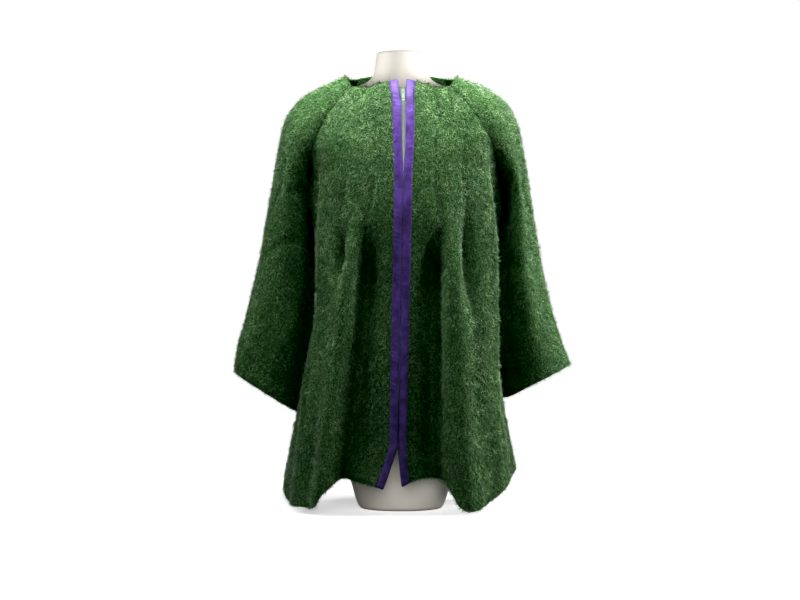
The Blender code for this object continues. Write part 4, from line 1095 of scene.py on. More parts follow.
def rim(panel, end, columns, rng):
    """Roots along an open edge, with directions that stand off the edge in place of the cloth."""
    edge, beside = (0, 2) if end == "first" else (-1, -3)
    outer = panel.ground[edge, columns]
    inner = panel.inside[edge, columns]
    away = outer - panel.ground[beside, columns]
    run = run_length(outer)
    places = np.arange(0, run[-1], RIM_STEP)
    depth = rng.random(len(places))[:, None]
    away = unit(along_line(places, run, away))
    across = along_line(places, run, panel.normal[edge, columns])
    across = unit(across - away * np.sum(across * away, axis=1)[:, None])
    root = along_line(places, run, outer) * (1 - depth) + along_line(places, run, inner) * depth
    return root - away * RIM_SINK, away, across, np.cross(away, across)


def open_edges(name):
    """Which columns of a panel's first and last row are open edges."""
    if name.startswith("front"):
        return slice(BOUND_CELLS, NECK_CELLS), slice(BOUND_CELLS, None)
    if name == "back":
        return slice(BACK_RAGLAN_CELLS, -BACK_RAGLAN_CELLS), slice(None)
    return slice(None), slice(None)


def build_nap(name, count, inside_count, settings, material):
    """Brushed nap of one panel: outside, inside where its openings show it, and round its open edges."""
    panel = shape_panel(name)
    rng = np.random.default_rng(sum(map(ord, name)))
    outside, inside = nap_weights(name, panel)
    neck, hem = open_edges(name)
    roots = (scatter(panel.ground, panel.normal, count, rng, outside),
             scatter(panel.inside, -panel.normal, inside_count, rng, inside),
             rim(panel, "first", neck, rng),
             rim(panel, "last", hem, rng))
    points, faces, shade, facing = zip(*[locks(*root, settings, rng) for root in roots])
    starts = np.cumsum([0] + [len(group) for group in points[:-1]])
    faces = np.concatenate([group + start for group, start in zip(faces, starts)])
    piece = new_object("nap_" + name, np.concatenate(points), faces, material)
    layer = piece.data.attributes.new("shade", "FLOAT", "POINT")
    layer.data.foreach_set("value", np.concatenate(shade).astype(np.float32))
    piece.data.normals_split_custom_set_from_vertices(np.concatenate(facing))
    return piece


def squared(normal):
    """Wall directions under the bindings, which stand straight behind the outside."""
    return unit(normal * (0, 1, 1))


def resample(values, rows):
    """Rows of a grid taken at even steps, with a given count."""
    at = np.linspace(0, len(values) - 1, rows)
    low = np.minimum(at.astype(int), len(values) - 2)
    part = (at - low).reshape(-1, *[1] * (values.ndim - 1))
    return values[low] * (1 - part) + values[low + 1] * part


# Bindings: grid, thickness of the satin, and the run of its puckers
BINDING_ROWS = 420
BIGHT_STEPS = 5
BINDING_CLOTH = 0.0005
BINDING_SEEDS = {RIGHT: 21, LEFT: 22}
WANDER_STEPS = 90
WANDER_SPREAD = 0.30
STRENGTH_STEPS = 60
STRENGTH_RANGE = (0.35, 1.0)
PUCKER_SLANT = 0.8
EDGE_PUCKER = 0.35
PUFF = 0.00035
SATIN_SINK = 0.0002
SEWN_FROM = 0.72
SEWN_DOWN = 0.75


def build_binding(side, settings, material):
    """Satin strip folded round a front edge, with the slanting puckers that its bias cut makes."""
    name = SIDE_NAMES[side]
    panel = shape_panel("front_" + name)
    outside = resample(panel.outside[:, :BOUND_CELLS + 1], BINDING_ROWS)
    tilt = squared(resample(panel.normal[:, :BOUND_CELLS + 1], BINDING_ROWS))
    down = run_length(outside[:, 0])
    across = np.linspace(0, 1, BOUND_CELLS + 1)
    rng = np.random.default_rng(BINDING_SEEDS[side])
    wander = np.interp(down, np.linspace(0, down[-1], WANDER_STEPS),
                       rng.normal(0, WANDER_SPREAD, WANDER_STEPS))
    strength = np.interp(down, np.linspace(0, down[-1], STRENGTH_STEPS),
                         rng.uniform(*STRENGTH_RANGE, STRENGTH_STEPS))
    phase = down[:, None] / settings.pucker_pitch + across[None] * PUCKER_SLANT + wander[:, None]
    pucker = settings.pucker_depth * strength[:, None] * np.sin(2 * math.pi * phase)
    pucker = pucker * (EDGE_PUCKER + (1 - EDGE_PUCKER) * across[None])
    puff = PUFF * np.sin(math.pi * across)[None]
    sewn = ease((across - SEWN_FROM) / (1 - SEWN_FROM))[None]
    rise = (BINDING_REACH - SATIN_SINK + puff + pucker) * (1 - SEWN_DOWN * sewn)
    face = outside + tilt * rise[:, :, None]
    behind = outside - tilt * (WALL + rise)[:, :, None]
    turns = np.linspace(0, math.pi, BIGHT_STEPS + 2)[1:-1]
    middle = outside[:, 0] - tilt[:, 0] * WALL / 2
    deep = (WALL / 2 + rise[:, 0])[:, None]
    edge = np.array((-side, 0.0, 0.0)) * BINDING_REACH
    bight = [middle + tilt[:, 0] * deep * math.cos(turn) + edge * math.sin(turn) for turn in turns]
    outer = np.concatenate([face[:, ::-1], np.stack(bight, axis=1), behind], axis=1)
    under_face = outside + tilt * (rise - BINDING_CLOTH)[:, :, None]
    under_behind = outside - tilt * (WALL + rise - BINDING_CLOTH)[:, :, None]
    shrink = (deep - BINDING_CLOTH) / deep
    fold = edge * (1 - BINDING_CLOTH / BINDING_REACH)
    under = [middle + tilt[:, 0] * deep * shrink * math.cos(turn) + fold * math.sin(turn) for turn in turns]
    inner = np.concatenate([under_face[:, ::-1], np.stack(under, axis=1), under_behind], axis=1)
    rings = np.concatenate([outer, inner[:, ::-1]], axis=1)
    return strip_shell("satin_binding_" + name, rings, material), outside, tilt


# Stitches: share of the stitch length that shows, and the thread's height and width
STITCH_SHARE = 0.78
STITCH_HEIGHT = 0.00045
STITCH_WIDTH = 0.00050
STITCH_PLACE = 0.14
STITCH_RISE = 0.00048
BOX_BEVEL = 0.22


def soft_box():
    """Points and triangles of a unit box with softened edges."""
    box = bmesh.new()
    bmesh.ops.create_cube(box, size=1.0)
    bmesh.ops.bevel(box, geom=box.edges[:], offset=BOX_BEVEL, segments=1, affect="EDGES")
    bmesh.ops.triangulate(box, faces=box.faces)
    points = np.array([vertex.co[:] for vertex in box.verts])
    faces = np.array([[vertex.index for vertex in face.verts] for face in box.faces])
    box.free()
    return points, faces


def box_row(name, centres, axes, size, material):
    """One mesh of many small soft boxes, each at its centre and along its own three axes."""
    points, faces = soft_box()
    scaled = points * size
    placed = centres[:, None] + np.einsum("pk,nkc->npc", scaled, axes)
    faces = faces[None] + (np.arange(len(centres)) * len(points))[:, None, None]
    return new_object(name, placed.reshape(-1, 3), faces.reshape(-1, 3), material)


def line_axes(line, out):
    """Axes along a line, out of the cloth and across it, a set for each point."""
    along = unit(np.gradient(line, axis=0))
    across = unit(np.cross(out, along))
    return np.stack([along, np.cross(along, across), across], axis=1)


def build_stitches(name, line, out, settings, material):
    """Row of machine stitches along a line on the cloth."""
    down = run_length(line)
    places = np.arange(settings.stitch_length, down[-1] - settings.stitch_length, settings.stitch_length)
    centre = along_line(places, down, line)
    facing = along_line(places, down, out)
    size = np.array((settings.stitch_length * STITCH_SHARE, STITCH_HEIGHT, STITCH_WIDTH))
    return box_row(name, centre, line_axes(centre, facing), size, material)


def edge_line(side, place, depth, heights):
    """Points below a column of a front at given heights."""
    panel = shape_panel("front_" + SIDE_NAMES[side])
    line = panel.outside[:, place] - squared(panel.normal[:, place]) * depth
    line = line[np.argsort(line[:, 2])]
    return along_line(heights, line[:, 2], line)


def between_edges(heights, depth):
    """Points midway between the fronts' edges, a depth below the one that lies farther in."""
    right = edge_line(RIGHT, 0, depth, heights)
    left = edge_line(LEFT, 0, depth, heights)
    middle = (right + left) / 2
    middle[:, 1] = np.maximum(right[:, 1], left[:, 1])
    middle[:, 2] = heights
    return middle


# Zip: depth behind the fronts, tapes with their corded edge, and teeth
ZIP_DEPTH = WALL + BINDING_REACH + TRIM_GAP
TAPE_ROWS = 200
TAPE_CELLS = 5
TAPE_WALL = 0.0008
TAPE_TUCK = 0.0010
CORD_RISE = 0.0003
CORD_PLACE = 0.12
CORD_HALF_WIDTH = 0.14
CHAIN_GAP = 0.001
TOOTH_DEPTH = 0.0010
TOOTH_STAGGER = 0.0007
TOOTH_WIDTH = 0.0036
TOOTH_SHARE = 0.82
TOOTH_THICKNESS = 0.0018


def build_tape(side, material):
    """Woven zip tape behind a front edge, with a corded edge beside the teeth."""
    heights = np.linspace(TAPE_TOP, ZIP_BOTTOM, TAPE_ROWS)
    start = between_edges(heights, ZIP_DEPTH)
    start[:, 0] += side * (CHAIN_WIDTH / 2 + TRIM_GAP - TAPE_TUCK)
    stop = edge_line(side, BOUND_CELLS // 2, ZIP_DEPTH, heights)
    share = np.linspace(0, 1, TAPE_CELLS + 1)[None, :, None]
    face = start[:, None] * (1 - share) + stop[:, None] * share
    cord = CORD_RISE * bump((share - CORD_PLACE) / CORD_HALF_WIDTH)
    out = np.array((0.0, -1.0, 0.0))
    rings = np.concatenate([face + out * cord, (face - out * TAPE_WALL)[:, ::-1]], axis=1)
    return strip_shell("zip_tape_weave_" + SIDE_NAMES[side], rings, material)


def build_teeth(settings, material):
    """Closed chain of interlocking teeth, from below the slider to the bottom stop."""
    top = SLIDER_HEIGHT - SLIDER_LENGTH / 2 - CHAIN_GAP
    heights = np.arange(top, ZIP_BOTTOM, -settings.tooth_pitch)
    centre = between_edges(heights, ZIP_DEPTH + TOOTH_DEPTH)
    hand = np.where(np.arange(len(heights)) % 2 == 0, RIGHT, LEFT)
    centre[:, 0] += hand * TOOTH_STAGGER
    across = np.zeros((len(heights), 3))
    across[:, 0] = 1.0
    line = between_edges(heights, ZIP_DEPTH)
    along = np.gradient(line, axis=0)
    along[:, 0] = 0
    along = unit(along)
    axes = np.stack([across, along, np.cross(across, along)], axis=1)
    size = np.array((TOOTH_WIDTH, settings.tooth_pitch * TOOTH_SHARE, TOOTH_THICKNESS))
    return box_row("zip_teeth", centre, axes, size, material)


WELD_DISTANCE = 0.00001
FLAT_ANGLE = math.radians(2)
SHARP_ANGLE = math.radians(40)


def soften_node(node, name, radius, material):
    """Copy of a small hard solid with softened edges."""
    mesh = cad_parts[node].data.copy()
    mesh.name = name
    mesh.materials.clear()
    mesh.materials.append(material)
    solid = bmesh.new()
    solid.from_mesh(mesh)
    bmesh.ops.remove_doubles(solid, verts=solid.verts, dist=WELD_DISTANCE)
    bmesh.ops.dissolve_limit(solid, angle_limit=FLAT_ANGLE, verts=solid.verts, edges=solid.edges)
    sharp = [edge for edge in solid.edges if len(edge.link_faces) == 2
             and edge.calc_face_angle() > SHARP_ANGLE]
    bmesh.ops.bevel(solid, geom=sharp, offset=radius, segments=2, affect="EDGES", clamp_overlap=True)
    bmesh.ops.triangulate(solid, faces=solid.faces)
    for face in solid.faces:
        face.smooth = False
    solid.to_mesh(mesh)
    solid.free()
    piece = bpy.data.objects.new(name, mesh)
    bpy.context.scene.collection.objects.link(piece)
    return piece


FORM_ROWS = 120
FORM_ROUND = 84
CAP_SHARES = (0.66, 0.33, 0.02)


def build_form(material):
    """Dress form: rounded sections from its flat base to its flat-topped neck."""
    heights = np.array(column(FORM_SECTIONS, "height"))
    fine = np.unique(np.concatenate([heights, np.linspace(heights[0], heights[-1], FORM_ROWS)]))
    angle = np.linspace(0, 2 * math.pi, FORM_ROUND, endpoint=False)[None]
    sizes = {name: look_up(FORM_SECTIONS, "height", name, fine)[:, None]
             for name in ("half_width", "front", "back", "squareness")}
    power = 2 / sizes["squareness"]
    across = np.sign(np.sin(angle)) * np.abs(np.sin(angle)) ** power
    along = np.sign(np.cos(angle)) * np.abs(np.cos(angle)) ** power
    depth = np.where(along > 0, sizes["front"], sizes["back"])
    rings = np.stack([sizes["half_width"] * across, FORM_SHIFT - depth * along,
                      np.broadcast_to(fine[:, None], across.shape)], axis=2)
    middle = np.array((0.0, FORM_SHIFT, 0.0))
    caps = []
    for share in CAP_SHARES:
        for cap in (0, -1):
            flat = rings[cap] * share + (middle + (0, 0, rings[cap][0, 2])) * (1 - share)
            flat[:, 2] = rings[cap][0, 2]
            caps.append(flat)
    stack = np.concatenate([np.stack(caps[0::2][::-1]), rings, np.stack(caps[1::2])])
    rows, count = stack.shape[:2]
    faces = [ring_faces(rows, count)]
    fan = np.arange(count // 2 - 1)
    for start, turn in ((0, 1), ((rows - 1) * count, -1)):
        corners = (fan, fan + 1, count - 2 - fan, count - 1 - fan)
        faces.append(start + np.stack(corners, axis=1)[:, ::-turn])
    piece = new_object("form_shell", stack.reshape(-1, 3), np.concatenate(faces), material)
    return turn_outward(piece)


def start_material(name, roughness, sockets=()):
    """New material with constant values on its surface shader."""
    material = bpy.data.materials.new(name)
    material.use_nodes = True
    surface = material.node_tree.nodes["Principled BSDF"]
    surface.inputs["Roughness"].default_value = roughness
    for socket, value in dict(sockets).items():
        surface.inputs[socket].default_value = value
    return material, material.node_tree, surface


def add_noise(tree, scale, detail, stretch=None):
    """Noise texture on the object's own coordinates."""
    place = tree.nodes.new("ShaderNodeTexCoord")
    source = place.outputs["Object"]
    if stretch is not None:
        mapping = tree.nodes.new("ShaderNodeMapping")
        mapping.inputs["Scale"].default_value = stretch
        tree.links.new(source, mapping.inputs["Vector"])
        source = mapping.outputs["Vector"]
    texture = tree.nodes.new("ShaderNodeTexNoise")
    texture.inputs["Scale"].default_value = scale
    texture.inputs["Detail"].default_value = detail
    tree.links.new(source, texture.inputs["Vector"])
    return texture


def add_ramp(tree, factor, stops):
    """Colour ramp with stops of place and colour."""
    ramp = tree.nodes.new("ShaderNodeValToRGB")
    elements = ramp.color_ramp.elements
    while len(elements) < len(stops):
        elements.new(0.5)
    for element, (place, colour) in zip(elements, stops):
        element.position = place
        element.color = (*colour, 1.0)
    tree.links.new(factor, ramp.inputs["Fac"])
    return ramp.outputs["Color"]


def add_mix(tree, factor, first, second, blend="MIX"):
    """Mix of two colours; the factor is a socket or a number."""
    mixing = tree.nodes.new("ShaderNodeMix")
    mixing.data_type = "RGBA"
    mixing.blend_type = blend
    if isinstance(factor, float):
        mixing.inputs["Factor"].default_value = factor
    else:
        tree.links.new(factor, mixing.inputs["Factor"])
    for socket, value in (("A", first), ("B", second)):
        target = [item for item in mixing.inputs if item.name == socket and item.type == "RGBA"][0]
        if isinstance(value, tuple):
            target.default_value = (*value, 1.0)
        else:
            tree.links.new(value, target)
    return [item for item in mixing.outputs if item.type == "RGBA"][0]


def add_bump(tree, surface, height, strength, distance):
    """Bump of a surface from a height socket."""
    relief = tree.nodes.new("ShaderNodeBump")
    relief.inputs["Strength"].default_value = strength
    relief.inputs["Distance"].default_value = distance
    tree.links.new(height, relief.inputs["Height"])
    tree.links.new(relief.outputs["Normal"], surface.inputs["Normal"])


def colour_by(tree, surface, texture, start, end):
    """Colour of a surface from two stops of a texture, each a place and a colour."""
    tree.links.new(add_ramp(tree, texture.outputs["Fac"], (start, end)), surface.inputs["Base Color"])


def gloss_by(tree, surface, texture, start, end):
    """Roughness of a surface from two stops of a texture, each a place and a roughness."""
    stops = [(place, (roughness,) * 3) for place, roughness in (start, end)]
    tree.links.new(add_ramp(tree, texture.outputs["Fac"], stops), surface.inputs["Roughness"])


def shades(colour, dark, light):
    """A darker and a lighter tone of a colour."""
    darker = tuple(value * dark for value in colour)
    lighter = tuple(min(1.0, value * light) for value in colour)
    return darker, lighter


def ground_material(settings):
    """Matted ground of the mohair, under the nap."""
    existing = bpy.data.materials.get("mohair ground")
    if existing is not None:
        return existing
    material, tree, surface = start_material(
        "mohair ground", 0.95, {"Specular IOR Level": 0.05})
    dark = tuple(settings.dark_colour)
    middle = tuple(settings.middle_colour)
    fibre = add_noise(tree, 420.0, 4.0)
    colour_by(tree, surface, fibre, (0.30, dark), (0.72, middle))
    add_bump(tree, surface, fibre.outputs["Fac"], 0.8, 0.0015)
    return material


def nap_material(settings):
    """Heathered mohair fibre in uneven greens from lock to lock, darker toward the root as painted shade and
    pale at the tip.
    """
    existing = bpy.data.materials.get("mohair nap")
    if existing is not None:
        return existing
    material, tree, surface = start_material(
        "mohair nap", 0.55, {"Specular IOR Level": 0.40, "Sheen Weight": 0.28, "Sheen Roughness": 0.40})
    dark = tuple(settings.dark_colour)
    middle = tuple(settings.middle_colour)
    pale = tuple(settings.pale_colour)
    shade = tree.nodes.new("ShaderNodeAttribute")
    shade.attribute_name = "shade"
    # The ramp turns each lock's tone, with its painted shade toward the root, into greens
    tone = add_ramp(tree, shade.outputs["Fac"], ((0.08, dark), (0.42, middle), (0.95, pale)))
    broad = add_noise(tree, 34.0, 2.0)
    warm = add_ramp(tree, broad.outputs["Fac"], ((0.35, (0.95, 1.0, 1.0)), (0.65, (1.05, 1.0, 0.93))))
    colour = add_mix(tree, 1.0, tone, warm, "MULTIPLY")
    tree.links.new(colour, surface.inputs["Base Color"])
    return material


def satin_material(settings):
    """Violet satin: a fine slanting weave with long floats that shine unevenly."""
    material, tree, surface = start_material(
        "violet satin", 0.42, {"Specular IOR Level": 0.16, "Anisotropic": 0.4})
    dark, light = shades(tuple(settings.satin_colour), 0.62, 1.35)
    cloud = add_noise(tree, 60.0, 4.0)
    colour = add_ramp(tree, cloud.outputs["Fac"], ((0.32, dark), (0.68, light)))
    floats = add_noise(tree, 1.0, 2.0, (900.0, 900.0, 260.0))
    colour = add_mix(tree, floats.outputs["Fac"], shade_of(tree, colour, 0.80), colour)
    tree.links.new(colour, surface.inputs["Base Color"])
    gloss_by(tree, surface, floats, (0.30, 0.32), (0.70, 0.52))
    add_bump(tree, surface, floats.outputs["Fac"], 0.25, 0.0003)
    return material


def shade_of(tree, colour, amount):
    """A colour socket made darker by an even amount."""
    return add_mix(tree, 1.0, colour, (amount, amount, amount), "MULTIPLY")


def thread_material(settings):
    """Twisted sewing thread in the binding's violet."""
    material, tree, surface = start_material("violet thread", 0.55, {"Sheen Weight": 0.2})
    dark, light = shades(tuple(settings.satin_colour), 0.50, 1.10)
    twist = add_noise(tree, 900.0, 2.0)
    colour_by(tree, surface, twist, (0.3, dark), (0.7, light))
    add_bump(tree, surface, twist.outputs["Fac"], 0.4, 0.0003)
    return material


def tape_material(settings):
    """Mint zip tape in a close herringbone weave."""
    material, tree, surface = start_material("mint tape weave", 0.80, {"Sheen Weight": 0.15})
    dark, light = shades(tuple(settings.tape_colour), 0.78, 1.12)
    weave = add_noise(tree, 1.0, 2.0, (1500.0, 700.0, 700.0))
    colour_by(tree, surface, weave, (0.35, dark), (0.65, light))
    add_bump(tree, surface, weave.outputs["Fac"], 0.6, 0.0004)
    return material


def plastic_material(settings):
    """Mint moulded plastic, a little uneven and worn to a softer gloss."""
    material, tree, surface = start_material("mint plastic", 0.40, {"Specular IOR Level": 0.35, "IOR": 1.49})
    dark, light = shades(tuple(settings.plastic_colour), 0.92, 1.05)
    cloud = add_noise(tree, 180.0, 3.0)
    colour_by(tree, surface, cloud, (0.35, dark), (0.65, light))
    gloss_by(tree, surface, cloud, (0.3, 0.30), (0.7, 0.44))
    add_bump(tree, surface, cloud.outputs["Fac"], 0.15, 0.0002)
    return material


def form_material(settings):
    """Cream shell of the dress form: matte, with a faint cast grain."""
    material, tree, surface = start_material("cream form shell", 0.55, {"Specular IOR Level": 0.35})
    dark, light = shades(tuple(settings.form_colour), 0.95, 1.03)
    cloud = add_noise(tree, 9.0, 4.0)
    colour_by(tree, surface, cloud, (0.35, dark), (0.65, light))
    grain = add_noise(tree, 650.0, 3.0)
    gloss_by(tree, surface, grain, (0.3, 0.48), (0.7, 0.62))
    add_bump(tree, surface, grain.outputs["Fac"], 0.06, 0.0004)
    return material


GLOW_REACH = 2.5


def floor_material(settings):
    """Plain pale studio floor with a painted glow, full toward its background and dimmer near the part,
    where the lamps' shadow also falls a little.
    """
    material, tree, surface = start_material(
        "pale studio floor", 0.90, {"Specular IOR Level": 0.05, "Emission Strength": 1.0})
    dark, light = shades(tuple(settings.floor_colour), 0.99, 1.0)
    cloud = add_noise(tree, 3.0, 2.0)
    colour_by(tree, surface, cloud, (0.4, dark), (0.6, light))
    place = tree.nodes.new("ShaderNodeTexCoord")
    shrink = tree.nodes.new("ShaderNodeMapping")
    shrink.inputs["Scale"].default_value = (1 / GLOW_REACH,) * 3
    fade = tree.nodes.new("ShaderNodeTexGradient")
    fade.gradient_type = "SPHERICAL"
    tree.links.new(place.outputs["Object"], shrink.inputs["Vector"])
    tree.links.new(shrink.outputs["Vector"], fade.inputs["Vector"])
    # Painted glow: the floor emits white toward the background and a dimmer grey near the part
    glow = add_ramp(tree, fade.outputs["Fac"], ((0.0, (1.0, 1.0, 1.0)), (0.8, (0.62, 0.62, 0.62))))
    tree.links.new(glow, surface.inputs["Emission Color"])
    return material


class JacketCloth(bpy.types.PropertyGroup):
    """Colours and nap of the mohair."""

    dark_colour: FloatVectorProperty(
        name="Dark green", description="Roots of the nap and the ground under it",
        subtype="COLOR", min=0.0, max=1.0, default=(0.003, 0.020, 0.003))
    middle_colour: FloatVectorProperty(
        name="Middle green", description="Body of the nap",
        subtype="COLOR", min=0.0, max=1.0, default=(0.102, 0.200, 0.078))
    pale_colour: FloatVectorProperty(
        name="Pale green", description="Tips of the nap",
        subtype="COLOR", min=0.0, max=1.0, default=(0.500, 0.640, 0.410))
    length: FloatProperty(
        name="Nap length", description="Usual length of a lock of fibre",
        unit="LENGTH", default=0.0065)
    width: FloatProperty(
        name="Lock width", description="Usual width of a lock of fibre",
        unit="LENGTH", default=0.00068)
    lift: FloatProperty(
        name="Nap height", description="How far the nap stands off its ground",
        unit="LENGTH", default=0.0030)
    clump: FloatProperty(
        name="Clump size", description="Distance over which the nap turns another way",
        unit="LENGTH", default=0.0075)
    tufts: FloatProperty(
        name="Tufts", description="How unevenly the nap stands up from clump to clump", default=1.5)
    stray_share: FloatProperty(
        name="Stray fibres", description="Share of long thin fibres that stand out of the nap",
        subtype="FACTOR", min=0.0, max=1.0, default=0.20)
    front_locks: IntProperty(
        name="Locks on a front", description="Locks of fibre on the outside of each front", default=50000)
    back_locks: IntProperty(
        name="Locks on the back", description="Locks of fibre on the outside of the back", default=41000)
    sleeve_locks: IntProperty(
        name="Locks on a sleeve", description="Locks of fibre on the outside of each sleeve", default=36000)


class JacketTrim(bpy.types.PropertyGroup):
    """Bindings, stitches and zip."""

    satin_colour: FloatVectorProperty(
        name="Satin", description="Violet of the bindings",
        subtype="COLOR", min=0.0, max=1.0, default=(0.102, 0.054, 0.224))
    pucker_pitch: FloatProperty(
        name="Pucker pitch", description="Distance between the slanting puckers of a binding",
        unit="LENGTH", default=0.0075)
    pucker_depth: FloatProperty(
        name="Pucker depth", description="Height of the puckers", unit="LENGTH", default=0.00045)
    stitch_length: FloatProperty(
        name="Stitch length", description="Length of a machine stitch", unit="LENGTH", default=0.0030)
    tape_colour: FloatVectorProperty(
        name="Zip tape", description="Mint of the zip tape",
        subtype="COLOR", min=0.0, max=1.0, default=(0.720, 0.900, 0.780))
    plastic_colour: FloatVectorProperty(
        name="Zip plastic", description="Mint of the teeth and slider",
        subtype="COLOR", min=0.0, max=1.0, default=(0.720, 0.900, 0.710))
    tooth_pitch: FloatProperty(
        name="Tooth pitch", description="Distance between teeth along the chain",
        unit="LENGTH", default=0.0016)


class JacketStage(bpy.types.PropertyGroup):
    """Dress form, floor, lights and camera."""

    form_colour: FloatVectorProperty(
        name="Form", description="Cream of the dress form",
        subtype="COLOR", min=0.0, max=1.0, default=(0.738, 0.703, 0.643))
    floor_colour: FloatVectorProperty(
        name="Floor", description="Pale studio floor", subtype="COLOR", min=0.0, max=1.0,
        default=(0.800, 0.800, 0.800))
    key_power: FloatProperty(
        name="Key light", description="Power of the soft light above the front",
        unit="POWER", default=29.0)
    right_power: FloatProperty(
        name="Right side light", description="Power of the soft light at the viewer's right",
        unit="POWER", default=37.0)
    left_power: FloatProperty(
        name="Left side light", description="Power of the soft light at the viewer's left",
        unit="POWER", default=15.0)
    base_power: FloatProperty(
        name="Base light", description="Power of the low light on the form, the floor and the zip",
        unit="POWER", default=16.0)
    back_power: FloatProperty(
        name="Back light", description="Power of the soft light behind the back",
        unit="POWER", default=48.0)
    tone: FloatProperty(
        name="Tone", description="Below 1 the picture's dark tones are deeper", default=0.76)
    black_level: FloatVectorProperty(
        name="Black level", description="Light that the picture shows as black",
        subtype="COLOR", min=0.0, max=1.0, default=(0.016, 0.007, 0.013))
    surround: FloatProperty(
        name="Surround", description="Strength of the even light from all round", default=0.012)
    lens: FloatProperty(
        name="Lens", description="Focal length of the camera", subtype="DISTANCE_CAMERA", default=75.0)


# Flat cut of a panel before it was sewn and hung, and the locks of nap on its inside
Cut = namedtuple("Cut", "width length area inside_locks")
CUTS = {
    "front": Cut(0.36, 0.80, 0.205, 3000),
    "back": Cut(0.66, 0.80, 0.38, 5000),
    "sleeve": Cut(0.36, 0.66, 0.19, 3500),
}


def sew_panel(name, outside_locks, cloth):
    """Cloth and nap of one panel, with the count of locks on its inside taken from its cut."""
    cut = CUTS[name.split("_")[0]]
    piece = cloth_shell("cloth_" + name, shape_panel(name), ground_material(cloth))
    pass_on(piece, "jacket", "mohair", name)
    nap = build_nap(name, outside_locks, cut.inside_locks, cloth, nap_material(cloth))
    pass_on(nap, "jacket", "mohair")


class JACKET_OT_fronts(bpy.types.Operator):
    """Right and left front with their tucks, folds and nap"""

    bl_idname = "jacket.fronts"
    bl_label = "Fronts"

    def execute(self, context):
        cloth = context.scene.jacket_cloth
        match_side_seams()
        for name in ("front_right", "front_left"):
            sew_panel(name, cloth.front_locks, cloth)
        return {"FINISHED"}


class JACKET_OT_back(bpy.types.Operator):
    """Back with its folds and nap"""

    bl_idname = "jacket.back"
    bl_label = "Back"

    def execute(self, context):
        cloth = context.scene.jacket_cloth
        sew_panel("back", cloth.back_locks, cloth)
        return {"FINISHED"}


class JACKET_OT_sleeves(bpy.types.Operator):
    """Raglan sleeves with their folds and nap"""

    bl_idname = "jacket.sleeves"
    bl_label = "Sleeves"

    def execute(self, context):
        cloth = context.scene.jacket_cloth
        for name in ("sleeve_right", "sleeve_left"):
            sew_panel(name, cloth.sleeve_locks, cloth)
        return {"FINISHED"}


class JACKET_OT_bindings(bpy.types.Operator):
    """Satin bindings of the front edges, with their stitches"""

    bl_idname = "jacket.bindings"
    bl_label = "Bindings"

    def execute(self, context):
        trim = context.scene.jacket_trim
        satin = satin_material(trim)
        thread = thread_material(trim)
        for side, name in SIDE_NAMES.items():
            piece, outside, tilt = build_binding(side, trim, satin)
            pass_on(piece, "jacket", "satin", "binding_" + name)
            line = outside[:, -1] * (1 - STITCH_PLACE) + outside[:, -2] * STITCH_PLACE
            line = line + tilt[:, -1] * STITCH_RISE
            stitches = build_stitches("binding_stitches_" + name, line, tilt[:, -1], trim, thread)
            pass_on(stitches, "jacket", "satin")
        return {"FINISHED"}


class JACKET_OT_zip(bpy.types.Operator):
    """Zip tapes, teeth, slider, pull tab and bottom stop"""

    bl_idname = "jacket.zip"
    bl_label = "Zip"

    def execute(self, context):
        trim = context.scene.jacket_trim
        weave = tape_material(trim)
        plastic = plastic_material(trim)
        for side, name in SIDE_NAMES.items():
            tape = pass_on(build_tape(side, weave), "jacket", "zip_tape", "zip_tape_" + name)
        pass_on(build_teeth(trim, plastic), "jacket", "zip_plastic", "zip_chain")
        for node, name, body, radius in (("zip_slider", "zip_slider_body", "jacket", 0.00030),
                                         ("zip_pull_tab", "zip_tab", "pull_tab", 0.00025),
                                         ("zip_stop", "zip_bottom_stop", "jacket", 0.00040)):
            pass_on(soften_node(node, name, radius, plastic), body, "zip_plastic", node)
        return {"FINISHED"}


class JACKET_OT_form(bpy.types.Operator):
    """Smooth dress form that the jacket rests on"""

    bl_idname = "jacket.form"
    bl_label = "Dress form"

    def execute(self, context):
        piece = build_form(form_material(context.scene.jacket_stage))
        pass_on(piece, "jacket", "form_shell", "dress_form")
        return {"FINISHED"}


# Pale pieces that the key light would bleach take the low front light in its place
PALE_PIECES = ("form_shell", "studio_floor", "zip_slider_body", "zip_tab", "zip_teeth",
               "zip_tape_weave_right", "zip_tape_weave_left")
STUDIO_RADIUS = 6.5
STUDIO_HEIGHT = 9.0
STUDIO_SIDES = 72
STUDIO_CENTRE = 0.001
SWEEP = 1.5
SWEEP_STEPS = 12

# Soft lights: where each stands, what it faces, and its size
Lamp = namedtuple("Lamp", "place target size")
KEY_LAMP = Lamp((-0.05, -0.38, 1.46), (0.0, -0.06, 0.60), (0.7, 0.4))
RIGHT_LAMP = Lamp((1.30, -0.22, 0.95), (0.0, 0.0, 0.40), (0.5, 1.1))
LEFT_LAMP = Lamp((-1.20, -0.40, 1.15), (0.0, 0.0, 0.50), (0.5, 1.0))
BASE_LAMP = Lamp((0.0, -1.40, 0.40), (0.0, 0.0, 0.40), (0.8, 1.0))
BACK_LAMP = Lamp((0.45, 1.10, 1.70), (0.0, 0.0, 0.45), (0.9, 0.6))

CAMERA_PLACE = (0.0, -3.14, 0.39)
CAMERA_SENSOR = 36.0
PICTURE_WIDTH = 800


